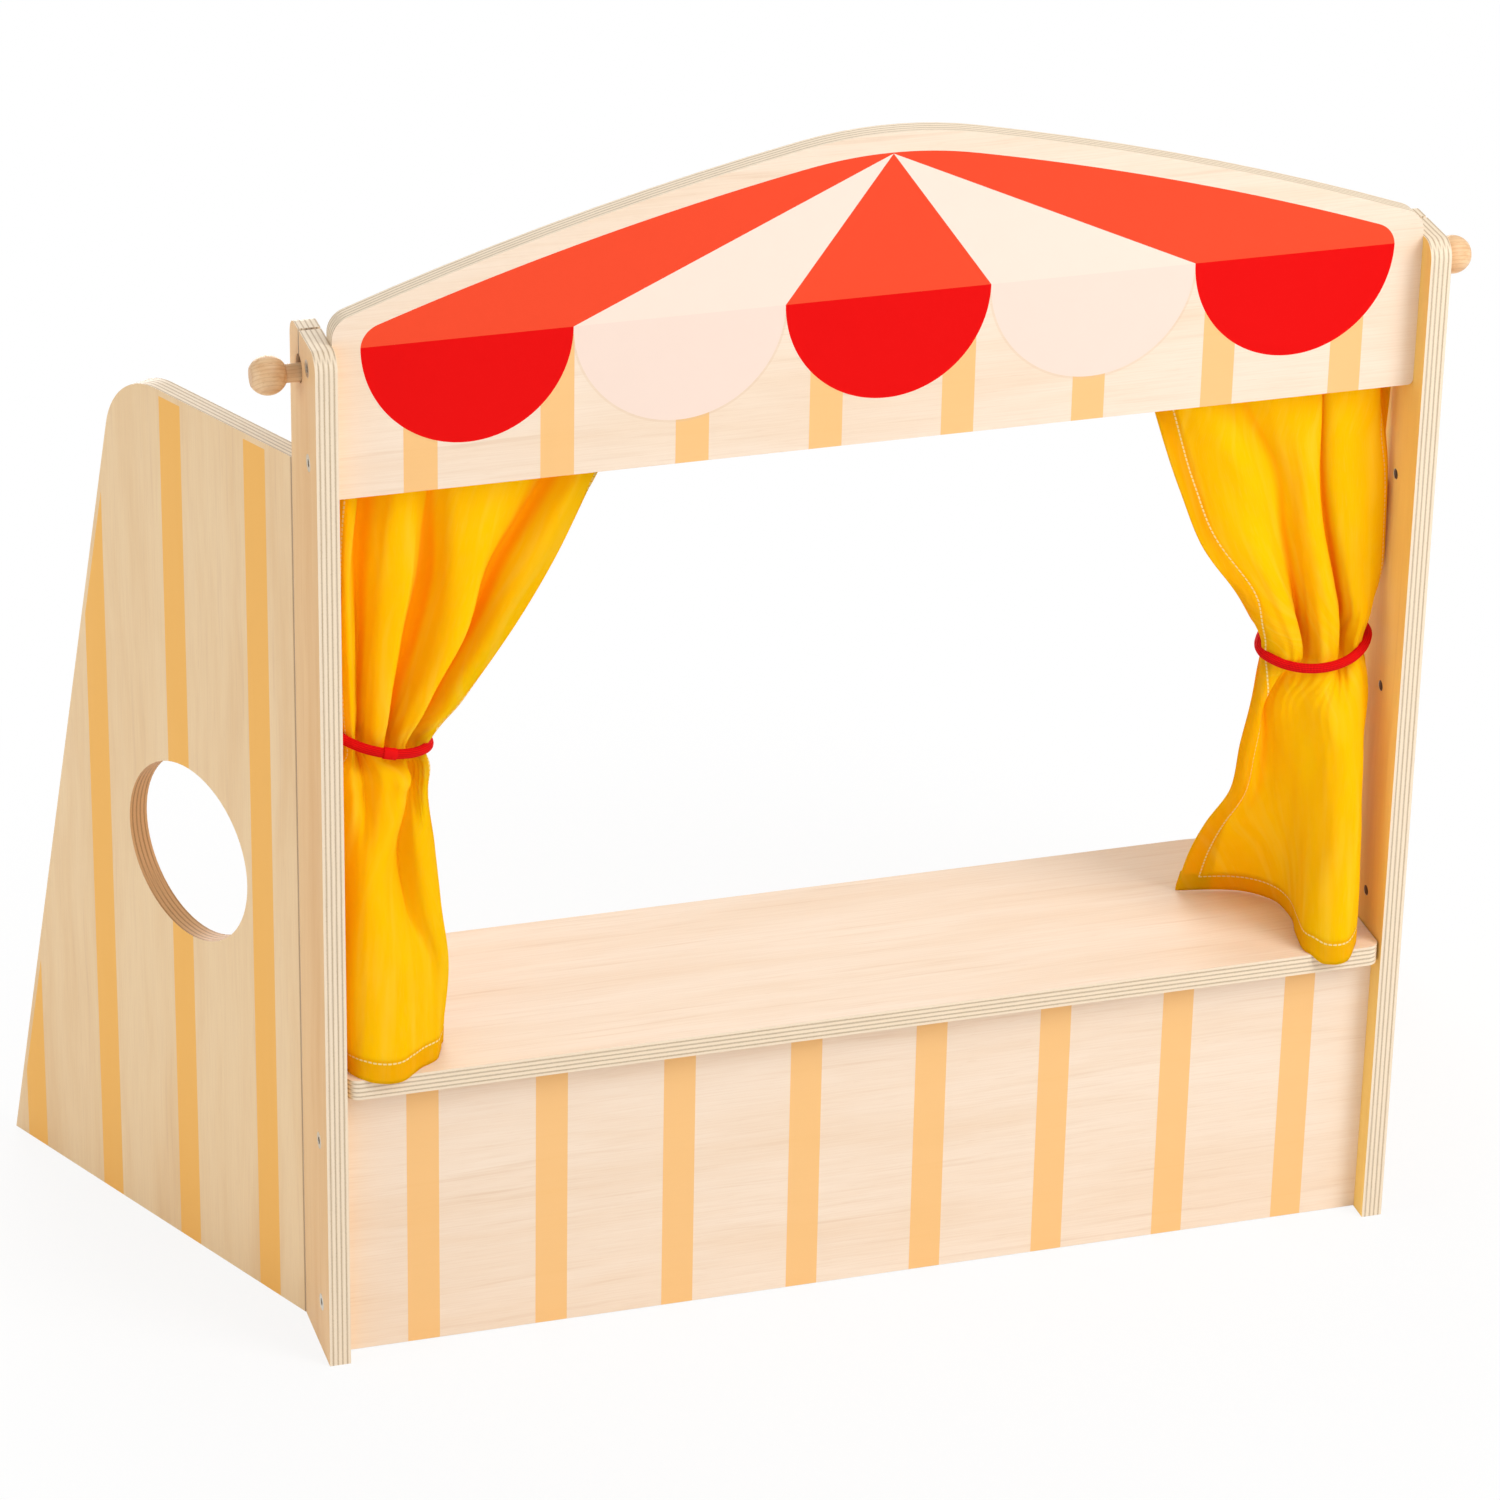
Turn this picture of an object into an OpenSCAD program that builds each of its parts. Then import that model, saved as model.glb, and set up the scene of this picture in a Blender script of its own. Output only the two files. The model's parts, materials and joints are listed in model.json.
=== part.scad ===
// Tabletop puppet theatre in 12 mm birch plywood, with two splayed wings,
// a rod with wooden end balls, and two tied-back cotton curtains.
// X runs across the stage, Y from the audience to the back, Z up.
// The origin is on the table, under the middle of the whole theatre.

/* [Boards] */
// Thickness of every plywood board
ply = 12; // [9:0.5:18]
// Clear width between the two posts
stage_w = 600; // [460:5:760]
// Height of the posts
post_h = 608; // [560:1:680]
// Depth of the posts, front to back
post_d = 58; // [54:1:90]
// Corner radius at the top of the posts
post_corner_r = 10; // [3:0.5:18]
// Distance from the posts' front edges back to the header and the panel
setback = 13; // [4:0.5:16]

/* [Header board] */
// Height of the header's bottom edge above the table
header_z = 521; // [480:1:540]
// Height of the top of the arch above the table
arch_top_z = 696; // [670:1:730]
// Radius of the long arc on each side of the arch
arch_side_r = 1670; // [1200:10:2400]
// How far each long arc's centre lies past the middle
arch_side_x = 280; // [200:5:320]
// Radius of the rounded peak
arch_peak_r = 245; // [120:5:400]
// Radius of the header's upper corners
header_corner_r = 13; // [4:0.5:20]
// Radius of the header's lower corners
header_foot_r = 3; // [1:0.5:6]

/* [Front panel and shelf] */
// Gap between the panel's bottom edge and the table
panel_lift = 0.5; // [0.5:0.5:5]
// Height of the shelf's top face above the table
shelf_z = 180; // [160:1:200]
// Depth of the shelf, front to back
shelf_d = 149; // [110:1:180]
// How far the shelf stands proud of the posts at the front
shelf_lip = 0.5; // [0:0.5:6]
// Gap between each end of the shelf and its post
shelf_gap = 0.5; // [0.2:0.1:1]
// Radius of the shelf's front corners
shelf_front_r = 7; // [2:0.5:12]
// Radius of the shelf's rear corners
shelf_rear_r = 66; // [20:1:80]

/* [Wings] */
// Angle by which each wing splays outwards
splay = 26; // [18:1:34]
// Length of a wing along the table
wing_foot = 271; // [200:1:320]
// Height of a wing
wing_h = 527; // [480:1:556]
// How much shorter the wing is at its top
wing_lean = 118; // [60:1:140]
// Radius of the wing's upper rear corner
wing_corner_r = 45; // [15:1:60]
// Distance of the hand hole from the post
hand_s = 98; // [80:1:110]
// Height of the hand hole above the table
hand_z = 253.5; // [220:0.5:290]
// Diameter of the hand hole
hand_dia = 105; // [70:1:110]
// Gap in the mitred joint between wing and post
joint_gap = 0.5; // [0.3:0.1:1]

/* [Hinges] */
// Height of the lower hinge's middle
low_hinge_z = 95; // [80:1:110]
// Distance from the wing's top edge down to the upper hinge's middle
high_hinge_drop = 99; // [80:1:120]
// Length of a hinge
hinge_l = 50; // [40:1:56]
// Width of a hinge leaf from the pin's line
leaf_w = 24; // [20:0.5:26]
// Thickness of a hinge leaf
leaf_t = 1.5; // [1:0.1:1.8]
// Outer diameter of a hinge knuckle
knuckle_dia = 5.8; // [5:0.1:7]
// Diameter of a hinge pin
hinge_pin_dia = 3; // [2:0.1:3.2]
// Diameter of a hinge screw's shank
leaf_screw_dia = 2.6; // [2:0.1:3]
// Length of a hinge screw
leaf_screw_l = 9; // [6:0.5:10]

/* [Rod] */
// Distance from the posts' front edges back to the rod hole
rod_hole_y = 37.5; // [35:0.5:42]
// Height of the rod hole above the table
rod_hole_z = 586.5; // [575:0.5:590]
// Diameter of the rod hole
rod_hole_dia = 15; // [12:0.5:17]
// Diameter of the rod
rod_dia = 10; // [8:0.5:11]
// Width of the slit from the rod hole to the top of the post
slit_w = 2.5; // [1:0.1:4]
// Diameter of an end ball
ball_dia = 21; // [18:0.5:30]
// Free rod between each ball and its post
ball_gap = 6; // [3:0.5:12]

/* [Curtains] */
// Height of the left tie above the table
left_tie_z = 368; // [340:1:390]
// Height of the right tie above the table
right_tie_z = 360; // [340:1:390]
// Width of the left curtain where it hangs on the rod
left_curtain_w = 172; // [130:1:190]
// Width of the right curtain where it hangs on the rod
right_curtain_w = 156; // [130:1:190]
// Number of folds across a curtain
fold_count = 5; // [3:1:6]
// Thickness of the cloth's solid
cloth_t = 1.6; // [1.2:0.1:2]
// Diameter of the elastic cord of a tie
tie_cord_dia = 5.5; // [4:0.1:6]
// Outer width of the left tie's loop
left_tie_w = 57; // [50:1:64]
// Outer width of the right tie's loop
right_tie_w = 68; // [60:1:72]
// Outer depth of the left tie's loop, front to back
left_tie_d = 42; // [38:1:46]
// Outer depth of the right tie's loop, front to back
right_tie_d = 54; // [42:1:58]
// How far the left tie dips towards the stage, in degrees
left_tie_lean = 13; // [0:1:18]
// How far the right tie dips towards the stage, in degrees
right_tie_lean = 5; // [0:1:18]
// How far the left tie dips at the front, in degrees
left_tie_nod = 5; // [0:1:18]
// How far the right tie dips at the front, in degrees
right_tie_nod = 15; // [0:1:18]

/* [Fixings] */
// Height of the panel's lower screws above the table
panel_screw_low_z = 30.5; // [20:0.5:45]
// Distance between the panel's two screws on a side
panel_screw_step = 104; // [80:1:115]
// Height of the header's lower screws above its bottom edge
header_screw_lift = 20; // [12:0.5:24]
// Distance between the header's two screws on a side
header_screw_step = 53; // [40:0.5:56]
// Head diameter of a panel or header screw
screw_head_dia = 9.5; // [8:0.1:10.5]
// Shank diameter of a panel or header screw
screw_dia = 5; // [4:0.1:6]
// Length of a panel or header screw
screw_l = 48; // [36:1:55]
// Diameter of a shelf dowel
dowel_dia = 6; // [5:0.1:6.5]
// Length of a shelf dowel
dowel_l = 24; // [18:1:40]
// Diameter of a peg hole in the posts' inner faces
peg_dia = 6; // [4:0.1:7]
// Depth of a peg hole
peg_depth = 8; // [4:0.5:8.5]
// Distance from the posts' front edges back to the peg holes
peg_y = 27.4; // [20:0.1:29]
// Height of the lowest peg hole above the table
peg_low_z = 201; // [196:0.5:215]
// Distance between peg holes
peg_step = 130; // [110:1:135]

/* [Hidden] */
$fn = 96;

left = -1;
right = 1;
cut = 1;                      // how far a cutting shape runs past the wood
fit = 0.05;                   // running and push fits, on the radius
loose = 0.3;                  // clearance between cloth and what it hangs by

inner_x = stage_w / 2;
outer_x = inner_x + ply;
back_reach = post_d + wing_foot * cos(splay) + ply * sin(splay);
front_y = -(back_reach - shelf_lip) / 2;      // y of the posts' front edges
back_y = front_y + post_d;
board_y = front_y + setback;                  // front face of header and panel
screw_y = board_y + ply / 2;

rod_y = front_y + rod_hole_y;
rod_z = rod_hole_z - (rod_hole_dia - rod_dia) / 2 + loose;
ball_x = outer_x + ball_gap + ball_dia / 2;
ball_bore_r = rod_dia / 2 + fit;
rod_end_x = ball_x + sqrt(pow(ball_dia / 2, 2) - pow(ball_bore_r, 2));

screw_pocket = 3.2;                           // depth of the pocket for a screw head
screw_seat_x = outer_x - screw_pocket;
header_screw_z = [for (k = [0, 1]) header_z + header_screw_lift + k * header_screw_step];
panel_screw_z = [for (k = [0, 1]) panel_screw_low_z + k * panel_screw_step];
dowel_y = [front_y + post_d * 0.2, front_y + post_d * 0.75];
dowel_in_post = ply * 0.6;
dowel_z = shelf_z - ply / 2;
peg_z = [for (k = [0 : 2]) peg_low_z + k * peg_step];

high_hinge_z = wing_h - high_hinge_drop;
pin_off = knuckle_dia / 2 + 0.1;              // from the pin's line to either wood face
pin_x = inner_x - pin_off;
pin_back = (ply + pin_off) * tan(splay / 2);  // pin's line behind the post
pin_y = back_y + pin_back;
knuckle_gap = 0.3;
knuckle_l = (hinge_l - 2 * knuckle_gap) / 3;
leaf_clear = knuckle_dia / 2 + 0.5;           // from the pin's line to the plain leaf
leaf_screw_at = (leaf_w + leaf_clear) / 2;
leaf_head_r = leaf_screw_dia;
leaf_screw_z = [-hinge_l * 0.3, hinge_l * 0.3];

wood = [0.93, 0.80, 0.63];
metal = [0.72, 0.72, 0.70];

// Mirrors what is drawn for the right side when the side is left
module on_side(side) mirror([side < 0 ? 1 : 0, 0, 0]) children();

// Extrudes a drawing of (y, z) along X, starting at x0
module along_x(x0, t) translate([x0, 0, 0]) rotate([90, 0, 90]) linear_extrude(t) children();

// Extrudes a drawing of (x, z) backwards from the plane y0
module along_y(y0, t) translate([0, y0 + t, 0]) rotate([90, 0, 0]) linear_extrude(t) children();

// A round hole along X on the right side, from x0 towards the middle
module hole_x(x0, l, d, y, z) translate([x0 - l, y, z]) rotate([0, 90, 0]) cylinder(h = l, d = d);

// The place of the right wing: X along its outer face, Y through its thickness
module at_wing() translate([outer_x, back_y, 0]) rotate([0, 0, 90 - splay]) children();

// Posts

module post_outline() {
    r = post_corner_r;
    translate([front_y, 0]) square([post_d, post_h - r]);
    translate([front_y + r, 0]) square([post_d - 2 * r, post_h]);
    for (y = [r, post_d - r]) translate([front_y + y, post_h - r]) circle(r);
}

module post(side) color(wood) on_side(side) difference() {
    along_x(inner_x, ply) post_outline();
    hole_x(outer_x + cut, ply + 2 * cut, rod_hole_dia, rod_y, rod_hole_z);
    translate([inner_x - cut, rod_y - slit_w / 2, rod_hole_z])
        cube([ply + 2 * cut, slit_w, post_h - rod_hole_z + cut]);
    for (z = concat(header_screw_z, panel_screw_z)) {
        hole_x(outer_x + cut, ply + 2 * cut, screw_dia + 2 * fit, screw_y, z);
        hole_x(outer_x + cut, screw_pocket + cut, screw_head_dia + 2 * fit, screw_y, z);
    }
    for (y = dowel_y)
        hole_x(inner_x + dowel_in_post + fit, dowel_in_post + fit + cut, dowel_dia + 2 * fit, y, dowel_z);
    for (z = peg_z) hole_x(inner_x + peg_depth, peg_depth + cut, peg_dia, front_y + peg_y, z);
    for (z = [low_hinge_z, high_hinge_z], dz = leaf_screw_z)
        hole_x(inner_x + leaf_screw_l, leaf_screw_l + cut, leaf_screw_dia + 2 * fit,
            pin_y - leaf_screw_at, z + dz);
}

// Header board with its arch

peak_z = arch_top_z - arch_peak_r;            // centre of the peak's arc
side_arc_z = peak_z - sqrt(pow(arch_side_r - arch_peak_r, 2) - pow(arch_side_x, 2));
peak_half_w = arch_side_x * arch_peak_r / (arch_side_r - arch_peak_r);
corner_x = inner_x - header_corner_r;         // centre of an upper corner's arc
corner_reach = arch_side_r - header_corner_r;
corner_z = side_arc_z + sqrt(pow(corner_reach, 2) - pow(corner_x + arch_side_x, 2));
arc_end_x = (corner_x + arch_side_x) * arch_side_r / corner_reach - arch_side_x;

module half_header() {
    r = header_foot_r;
    square_z = header_z + r;
    translate([0, square_z]) square([inner_x, corner_z - square_z]);
    translate([0, header_z]) square([inner_x - r, r + cut]);
    translate([inner_x - r, square_z]) circle(r);
    translate([corner_x, corner_z]) circle(header_corner_r);
    intersection() {
        translate([0, square_z]) square([arc_end_x, arch_top_z - square_z]);
        translate([-arch_side_x, side_arc_z]) circle(arch_side_r, $fn = 720);
        union() {
            translate([peak_half_w, square_z]) square([inner_x, arch_top_z]);
            translate([0, peak_z]) circle(arch_peak_r, $fn = 360);
        }
    }
}

module header_board() color(wood) difference() {
    along_y(board_y, ply) union() {
        half_header();
        mirror([1, 0]) half_header();
    }
    board_end_holes(header_screw_z);
}

module board_end_holes(heights) for (side = [left, right], z = heights) on_side(side)
    hole_x(inner_x + cut, screw_l - ply + 2 * cut, screw_dia + 2 * fit, screw_y, z);

// Front panel

module front_panel() color(wood) difference() {
    translate([-inner_x, board_y, panel_lift]) cube([stage_w, ply, shelf_z - ply - panel_lift]);
    board_end_holes(panel_screw_z);
}

// Stage shelf

module shelf_outline() {
    half_w = inner_x - shelf_gap;
    front = front_y - shelf_lip;
    rear = front + shelf_d;
    translate([-half_w, front + shelf_front_r])
        square([2 * half_w, shelf_d - shelf_front_r - shelf_rear_r]);
    translate([shelf_front_r - half_w, front]) square([2 * (half_w - shelf_front_r), shelf_front_r + cut]);
    translate([shelf_rear_r - half_w, rear - shelf_rear_r - cut])
        square([2 * (half_w - shelf_rear_r), shelf_rear_r + cut]);
    for (side = [left, right]) {
        translate([side * (half_w - shelf_front_r), front + shelf_front_r]) circle(shelf_front_r);
        translate([side * (half_w - shelf_rear_r), rear - shelf_rear_r]) circle(shelf_rear_r);
    }
}

module stage_shelf() color(wood) difference() {
    translate([0, 0, shelf_z - ply]) linear_extrude(ply) shelf_outline();
    for (side = [left, right], y = dowel_y) on_side(side)
        hole_x(inner_x + cut, dowel_l - dowel_in_post + fit + cut, dowel_dia + 2 * fit, y, dowel_z);
}

// Screws and dowels

module board_screws(heights) color(metal)
    for (side = [left, right], z = heights) on_side(side)
        translate([outer_x, screw_y, z]) rotate([0, -90, 0]) difference() {
            union() {
                cylinder(h = screw_pocket, d = screw_head_dia);
                cylinder(h = screw_l, d = screw_dia);
            }
            translate([0, 0, -cut]) cylinder(h = 2.5 + cut, d = 4.6, $fn = 6);
        }

module shelf_dowels() color([0.86, 0.72, 0.52])
    for (side = [left, right], y = dowel_y) on_side(side)
        hole_x(inner_x + dowel_in_post, dowel_l, dowel_dia, y, dowel_z);

// Wings

wing_top_s = wing_foot - wing_lean;           // where the slanted edge meets the top edge
wing_slant = atan2(wing_lean, wing_h);        // slant of the rear edge from upright
wing_corner_back = wing_corner_r * tan((90 - wing_slant) / 2);

module wing_outline() {
    nose = -ply * tan(splay);
    arc_s = wing_top_s - wing_corner_back;
    slant_s = wing_top_s + wing_corner_back * sin(wing_slant);
    slant_z = wing_h - wing_corner_back * cos(wing_slant);
    polygon([[nose, 0], [wing_foot, 0], [slant_s, slant_z], [arc_s, wing_h], [nose, wing_h]]);
    translate([arc_s, wing_h - wing_corner_r]) circle(wing_corner_r);
}

module wing(side) color(wood) on_side(side) difference() {
    at_wing() along_y(0, ply) wing_outline();
    at_wing() translate([hand_s, -cut, hand_z]) rotate([-90, 0, 0])
        cylinder(h = ply + 2 * cut, d = hand_dia);
    translate([inner_x - ply, back_y - post_d, -cut]) cube([3 * ply, post_d + joint_gap, wing_h + 2 * cut]);
    translate([inner_x - ply, back_y - cut, -cut]) cube([ply + loose, pin_back + cut, wing_h + 2 * cut]);
    for (z = [low_hinge_z, high_hinge_z], dz = leaf_screw_z)
        at_wing() translate([leaf_screw_at - pin_back, ply - leaf_screw_l, z + dz])
            rotate([-90, 0, 0]) cylinder(h = leaf_screw_l + cut, d = leaf_screw_dia + 2 * fit);
}

// Butt hinges: one leaf on the post's inner face, the other on the wing's

// A leaf that lies back from the pin's line: X away from the pin, Y out of the wood
module leaf(knuckles) difference() {
    union() {
        translate([leaf_clear, -pin_off, -hinge_l / 2]) cube([leaf_w - leaf_clear, leaf_t, hinge_l]);
        for (k = knuckles) translate([0, 0, k * (knuckle_l + knuckle_gap) - knuckle_l / 2]) {
            cylinder(h = knuckle_l, d = knuckle_dia);
            translate([0, -pin_off, 0]) cube([leaf_clear + cut, leaf_t, knuckle_l]);
        }
    }
    translate([0, 0, -hinge_l / 2 - cut]) cylinder(h = hinge_l + 2 * cut, r = hinge_pin_dia / 2 + fit);
    for (dz = leaf_screw_z) translate([leaf_screw_at, -pin_off - cut, dz]) rotate([-90, 0, 0]) {
        cylinder(h = leaf_t + 2 * cut, d = leaf_screw_dia + 2 * fit);
        translate([0, 0, cut]) cylinder(h = leaf_t, r1 = leaf_screw_dia / 2 + fit, r2 = leaf_head_r + fit);
    }
}

module at_post_leaf(z) translate([pin_x, pin_y, z]) rotate([0, 0, -90]) mirror([0, 1, 0]) children();

module at_wing_leaf(z) at_wing() translate([-pin_back, ply + pin_off, z]) children();

module post_leaf(side, z) color(metal) on_side(side) at_post_leaf(z) leaf([-1, 1]);

module wing_leaf(side, z) color(metal) on_side(side) at_wing_leaf(z) leaf([0]);

module hinge_pin(side, z) color(metal) on_side(side)
    translate([pin_x, pin_y, z - hinge_l / 2]) cylinder(h = hinge_l, d = hinge_pin_dia);

// A countersunk screw whose head is flush with the leaf
module leaf_screw() rotate([90, 0, 0]) difference() {
    union() {
        cylinder(h = leaf_screw_l, d = leaf_screw_dia);
        cylinder(h = leaf_t, r1 = leaf_head_r, r2 = leaf_screw_dia / 2);
    }
    for (a = [0, 90]) rotate([0, 0, a]) translate([-leaf_head_r * 0.6, -0.25, -cut])
        cube([leaf_head_r * 1.2, 0.5, 0.7 + cut]);
}

module post_leaf_screws(side) color(metal) on_side(side)
    for (z = [low_hinge_z, high_hinge_z], dz = leaf_screw_z) at_post_leaf(z)
        translate([leaf_screw_at, leaf_t - pin_off, dz]) leaf_screw();

module wing_leaf_screws(side) color(metal) on_side(side)
    for (z = [low_hinge_z, high_hinge_z], dz = leaf_screw_z) at_wing_leaf(z)
        translate([leaf_screw_at, leaf_t - pin_off, dz]) leaf_screw();

// Rod and its end balls

module curtain_rod() color([0.88, 0.74, 0.55])
    translate([-rod_end_x, rod_y, rod_z]) rotate([0, 90, 0]) cylinder(h = 2 * rod_end_x, d = rod_dia);

module rod_ball(side) color([0.88, 0.74, 0.55]) on_side(side)
    translate([ball_x, rod_y, rod_z]) rotate([0, 90, 0]) rotate_extrude() intersection() {
        circle(d = ball_dia);
        translate([ball_bore_r, -ball_dia]) square([ball_dia, 2 * ball_dia]);
    }

// Curtains: a grid of rows up the cloth, folded about a plan curve, whose last
// rows wrap over the rod and come down behind to the pocket's seam

fold_steps = 33;
hem_z = shelf_z + loose;
seam_z = rod_z - rod_dia / 2 - 11;
pocket_r = rod_dia / 2 + loose + cloth_t / 2 + 0.9;
pocket_z = rod_z - 0.6;
pocket_turn = [215, 173, 132, 90, 48, 7, -35];
tie_half = 14;                                // half the height of the drawn-in waist

// Plan curves of the hems, as (distance in from the post, distance back from its front)
left_hem = [[6, 44], [3, -5], [60, -7], [61, 40]];
right_hem = [[15, 8], [60, -14], [12, 80], [89, 90]];
tie_sleeve_t = 0.5;

// Where a waist starts, how wide it is, how deep its folds are, and its height
function waist(start, w, d, lean, nod, z) = [start, (w - 2 * tie_cord_dia) * cos(lean) - 2 * loose,
    (d / 2 - tie_cord_dia - tie_sleeve_t) * cos(nod) - loose - cloth_t / 2, z];
left_waist = waist(8, left_tie_w, left_tie_d, left_tie_lean, left_tie_nod, left_tie_z);
right_waist = waist(10, right_tie_w, right_tie_d, right_tie_lean, right_tie_nod, right_tie_z);

function mix(a, b, t) = a + (b - a) * t;
function limit(t) = min(1, max(0, t));
function ease(t) = t * t * (3 - 2 * t);
function flat(p) = p / norm(p);

function bezier(c, t) = pow(1 - t, 3) * c[0] + 3 * pow(1 - t, 2) * t * c[1]
    + 3 * (1 - t) * t * t * c[2] + pow(t, 3) * c[3];

// Four plan control points in a straight line, in the rod's plane
function straight(d, w) = [for (k = [0 : 3]) [d + w * k / 3, rod_hole_y]];

// How far a height is from the waist towards the rod, and towards the hem
function rise(z, w) = limit((z - w[3] - tie_half) / (seam_z - w[3] - tie_half));
function fall(z, w) = limit((w[3] - tie_half - z) / (w[3] - tie_half - hem_z));

// Heights of the cloth's rows, with two rows at the waist
function cloth_rows(w) = concat(
    [for (t = [0, 0.2, 0.45, 0.72, 1]) mix(hem_z, w[3] - tie_half, t)],
    [for (t = [0, 0.14, 0.32, 0.6, 1]) mix(w[3] + tie_half, seam_z, t)]);

function plan(z, w, top_w, hem) =
    let (up = pow(rise(z, w), 0.6), down = ease(fall(z, w)),
        level = straight(mix(w[0], 3, rise(z, w)), mix(w[1], top_w, up)))
    [for (k = [0 : 3]) mix(level[k], hem[k], down)];

// How far the folds push the cloth forward: three deep ones where it is drawn in
// at the waist, and the curtain's own folds above and below them
function fold(z, u, w) = let (r = rise(z, w), f = fall(z, w))
    w[2] * pow(1 - max(r, f), 2) * pow(max(0, 1 - pow(2 * u - 1, 2)), 0.66) * sin(540 * u)
    + (0.8 + 18 * r * (1 - r) + 8 * f * (1 - f) + 1.5 * f) * sin(360 * fold_count * u);

function folded(c, z, u, w) = let (q = flat(bezier(c, min(1, u + 0.01)) - bezier(c, max(0, u - 0.01))))
    bezier(c, u) + [q[1], -q[0]] * fold(z, u, w);

// A point on either face of the cloth, square to the folded line
function cloth_point(c, z, u, w, off) =
    let (q = flat(folded(c, z, min(1, u + 0.006), w) - folded(c, z, max(0, u - 0.006), w)),
        at = folded(c, z, u, w) + [q[1], -q[0]] * off)
    [at[0], at[1], z];

function pocket_point(c, turn, u, off) =
    [bezier(c, u)[0], rod_hole_y + (pocket_r + off) * cos(turn), pocket_z + (pocket_r + off) * sin(turn)];

function cloth_grid(w, top_w, hem, off) = let (top = plan(seam_z, w, top_w, hem)) concat(
    [for (z = cloth_rows(w), c = [plan(z, w, top_w, hem)], k = [0 : fold_steps])
        cloth_point(c, z, k / fold_steps, w, off)],
    [for (turn = pocket_turn, k = [0 : fold_steps]) pocket_point(top, turn, k / fold_steps, off)],
    [for (k = [0 : fold_steps])
        [bezier(top, k / fold_steps)[0], rod_hole_y + cloth_t + 3 + off, seam_z + 1]]);

function grid_faces(rows, cols, flip) = let (n = rows * cols)
    [for (f = concat(
        [for (r = [0 : rows - 2], k = [0 : cols - 2]) let (a = r * cols + k, b = a + cols)
            each [[a, b, a + 1], [b, b + 1, a + 1]]],
        [for (r = [0 : rows - 2], k = [0 : cols - 2]) let (a = n + r * cols + k, b = a + cols)
            each [[a, a + 1, b], [b, a + 1, b + 1]]],
        [for (k = [0 : cols - 2], r = [0, rows - 1]) let (a = r * cols + k)
            each r == 0 ? [[a, a + 1, n + a], [n + a, a + 1, n + a + 1]]
                : [[a, n + a, a + 1], [n + a, n + a + 1, a + 1]]],
        [for (r = [0 : rows - 2], k = [0, cols - 1]) let (a = r * cols + k, b = a + cols)
            each k == 0 ? [[a, n + a, b], [n + a, n + b, b]]
                : [[a, b, n + a], [n + a, b, n + b]]]))
        flip ? f : [f[0], f[2], f[1]]];

module curtain(side, waist, top_w, hem) color([1, 0.76, 0]) {
    half = cloth_t / 2;
    cloth = concat(cloth_grid(waist, top_w, hem, half), cloth_grid(waist, top_w, hem, -half));
    rows = len(cloth_rows(waist)) + len(pocket_turn) + 1;
    polyhedron([for (p = cloth) [side * (inner_x - p[0]), front_y + p[1], p[2]]],
        grid_faces(rows, fold_steps + 1, side < 0), convexity = 10);
}

// Ties: an oval loop of elastic cord made of four arcs, joined by a sleeve

tie_end_r = 13;                               // radius of the loop's two ends
tie_joint_r = tie_cord_dia / 2 + 0.05;        // round joints between the arcs

module arc_tube(r, from, to, outer, inner) rotate([0, 0, from])
    rotate_extrude(angle = to - from) translate([r, 0]) difference() {
        circle(outer);
        if (inner > 0) circle(inner);
    }

// Half the loop's width, half its depth, the radius of its sides, and where they start
function loop_sizes(w, d) = let (hx = (w - tie_cord_dia) / 2, hy = (d - tie_cord_dia) / 2,
    long_r = (hx * hx + hy * hy - 2 * hx * tie_end_r) / (2 * (hy - tie_end_r)))
    [hx, hy, long_r, atan2(long_r - hy, hx - tie_end_r)];

module tie_loop(w, d) {
    q = loop_sizes(w, d);
    for (a = [0, 180]) rotate([0, 0, a]) {
        translate([q[0] - tie_end_r, 0, 0]) {
            arc_tube(tie_end_r, 1 - q[3], q[3] - 1, tie_cord_dia / 2, 0);
            for (b = [-q[3], q[3]]) rotate([0, 0, b]) translate([tie_end_r, 0, 0]) sphere(tie_joint_r);
        }
        translate([0, q[1] - q[2], 0]) arc_tube(q[2], q[3] + 0.5, 179.5 - q[3], tie_cord_dia / 2, 0);
    }
}

module sleeve_on_loop(w, d) {
    q = loop_sizes(w, d);
    half = 180 * 3.5 / (PI * q[2]);
    translate([0, q[1] - q[2], 0])
        arc_tube(q[2], 90 - half, 90 + half, tie_cord_dia / 2 + tie_sleeve_t, tie_cord_dia / 2 + fit);
}

module at_tie(side, waist, lean, nod) on_side(side)
    translate([inner_x - waist[0] - waist[1] / 2, rod_y, waist[3]]) rotate([nod, -lean, 0]) children();

module at_left_tie() at_tie(left, left_waist, left_tie_lean, left_tie_nod) children();

module at_right_tie() at_tie(right, right_waist, right_tie_lean, right_tie_nod) children();

module left_tie() color([0.88, 0.05, 0.08]) at_left_tie() tie_loop(left_tie_w, left_tie_d);

module right_tie() color([0.88, 0.05, 0.08]) at_right_tie() tie_loop(right_tie_w, right_tie_d);

module left_tie_sleeve() color([0.80, 0.04, 0.08])
    at_left_tie() rotate([0, 0, 180]) sleeve_on_loop(left_tie_w, left_tie_d);

module right_tie_sleeve() color([0.80, 0.04, 0.08]) at_right_tie() sleeve_on_loop(right_tie_w, right_tie_d);

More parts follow.
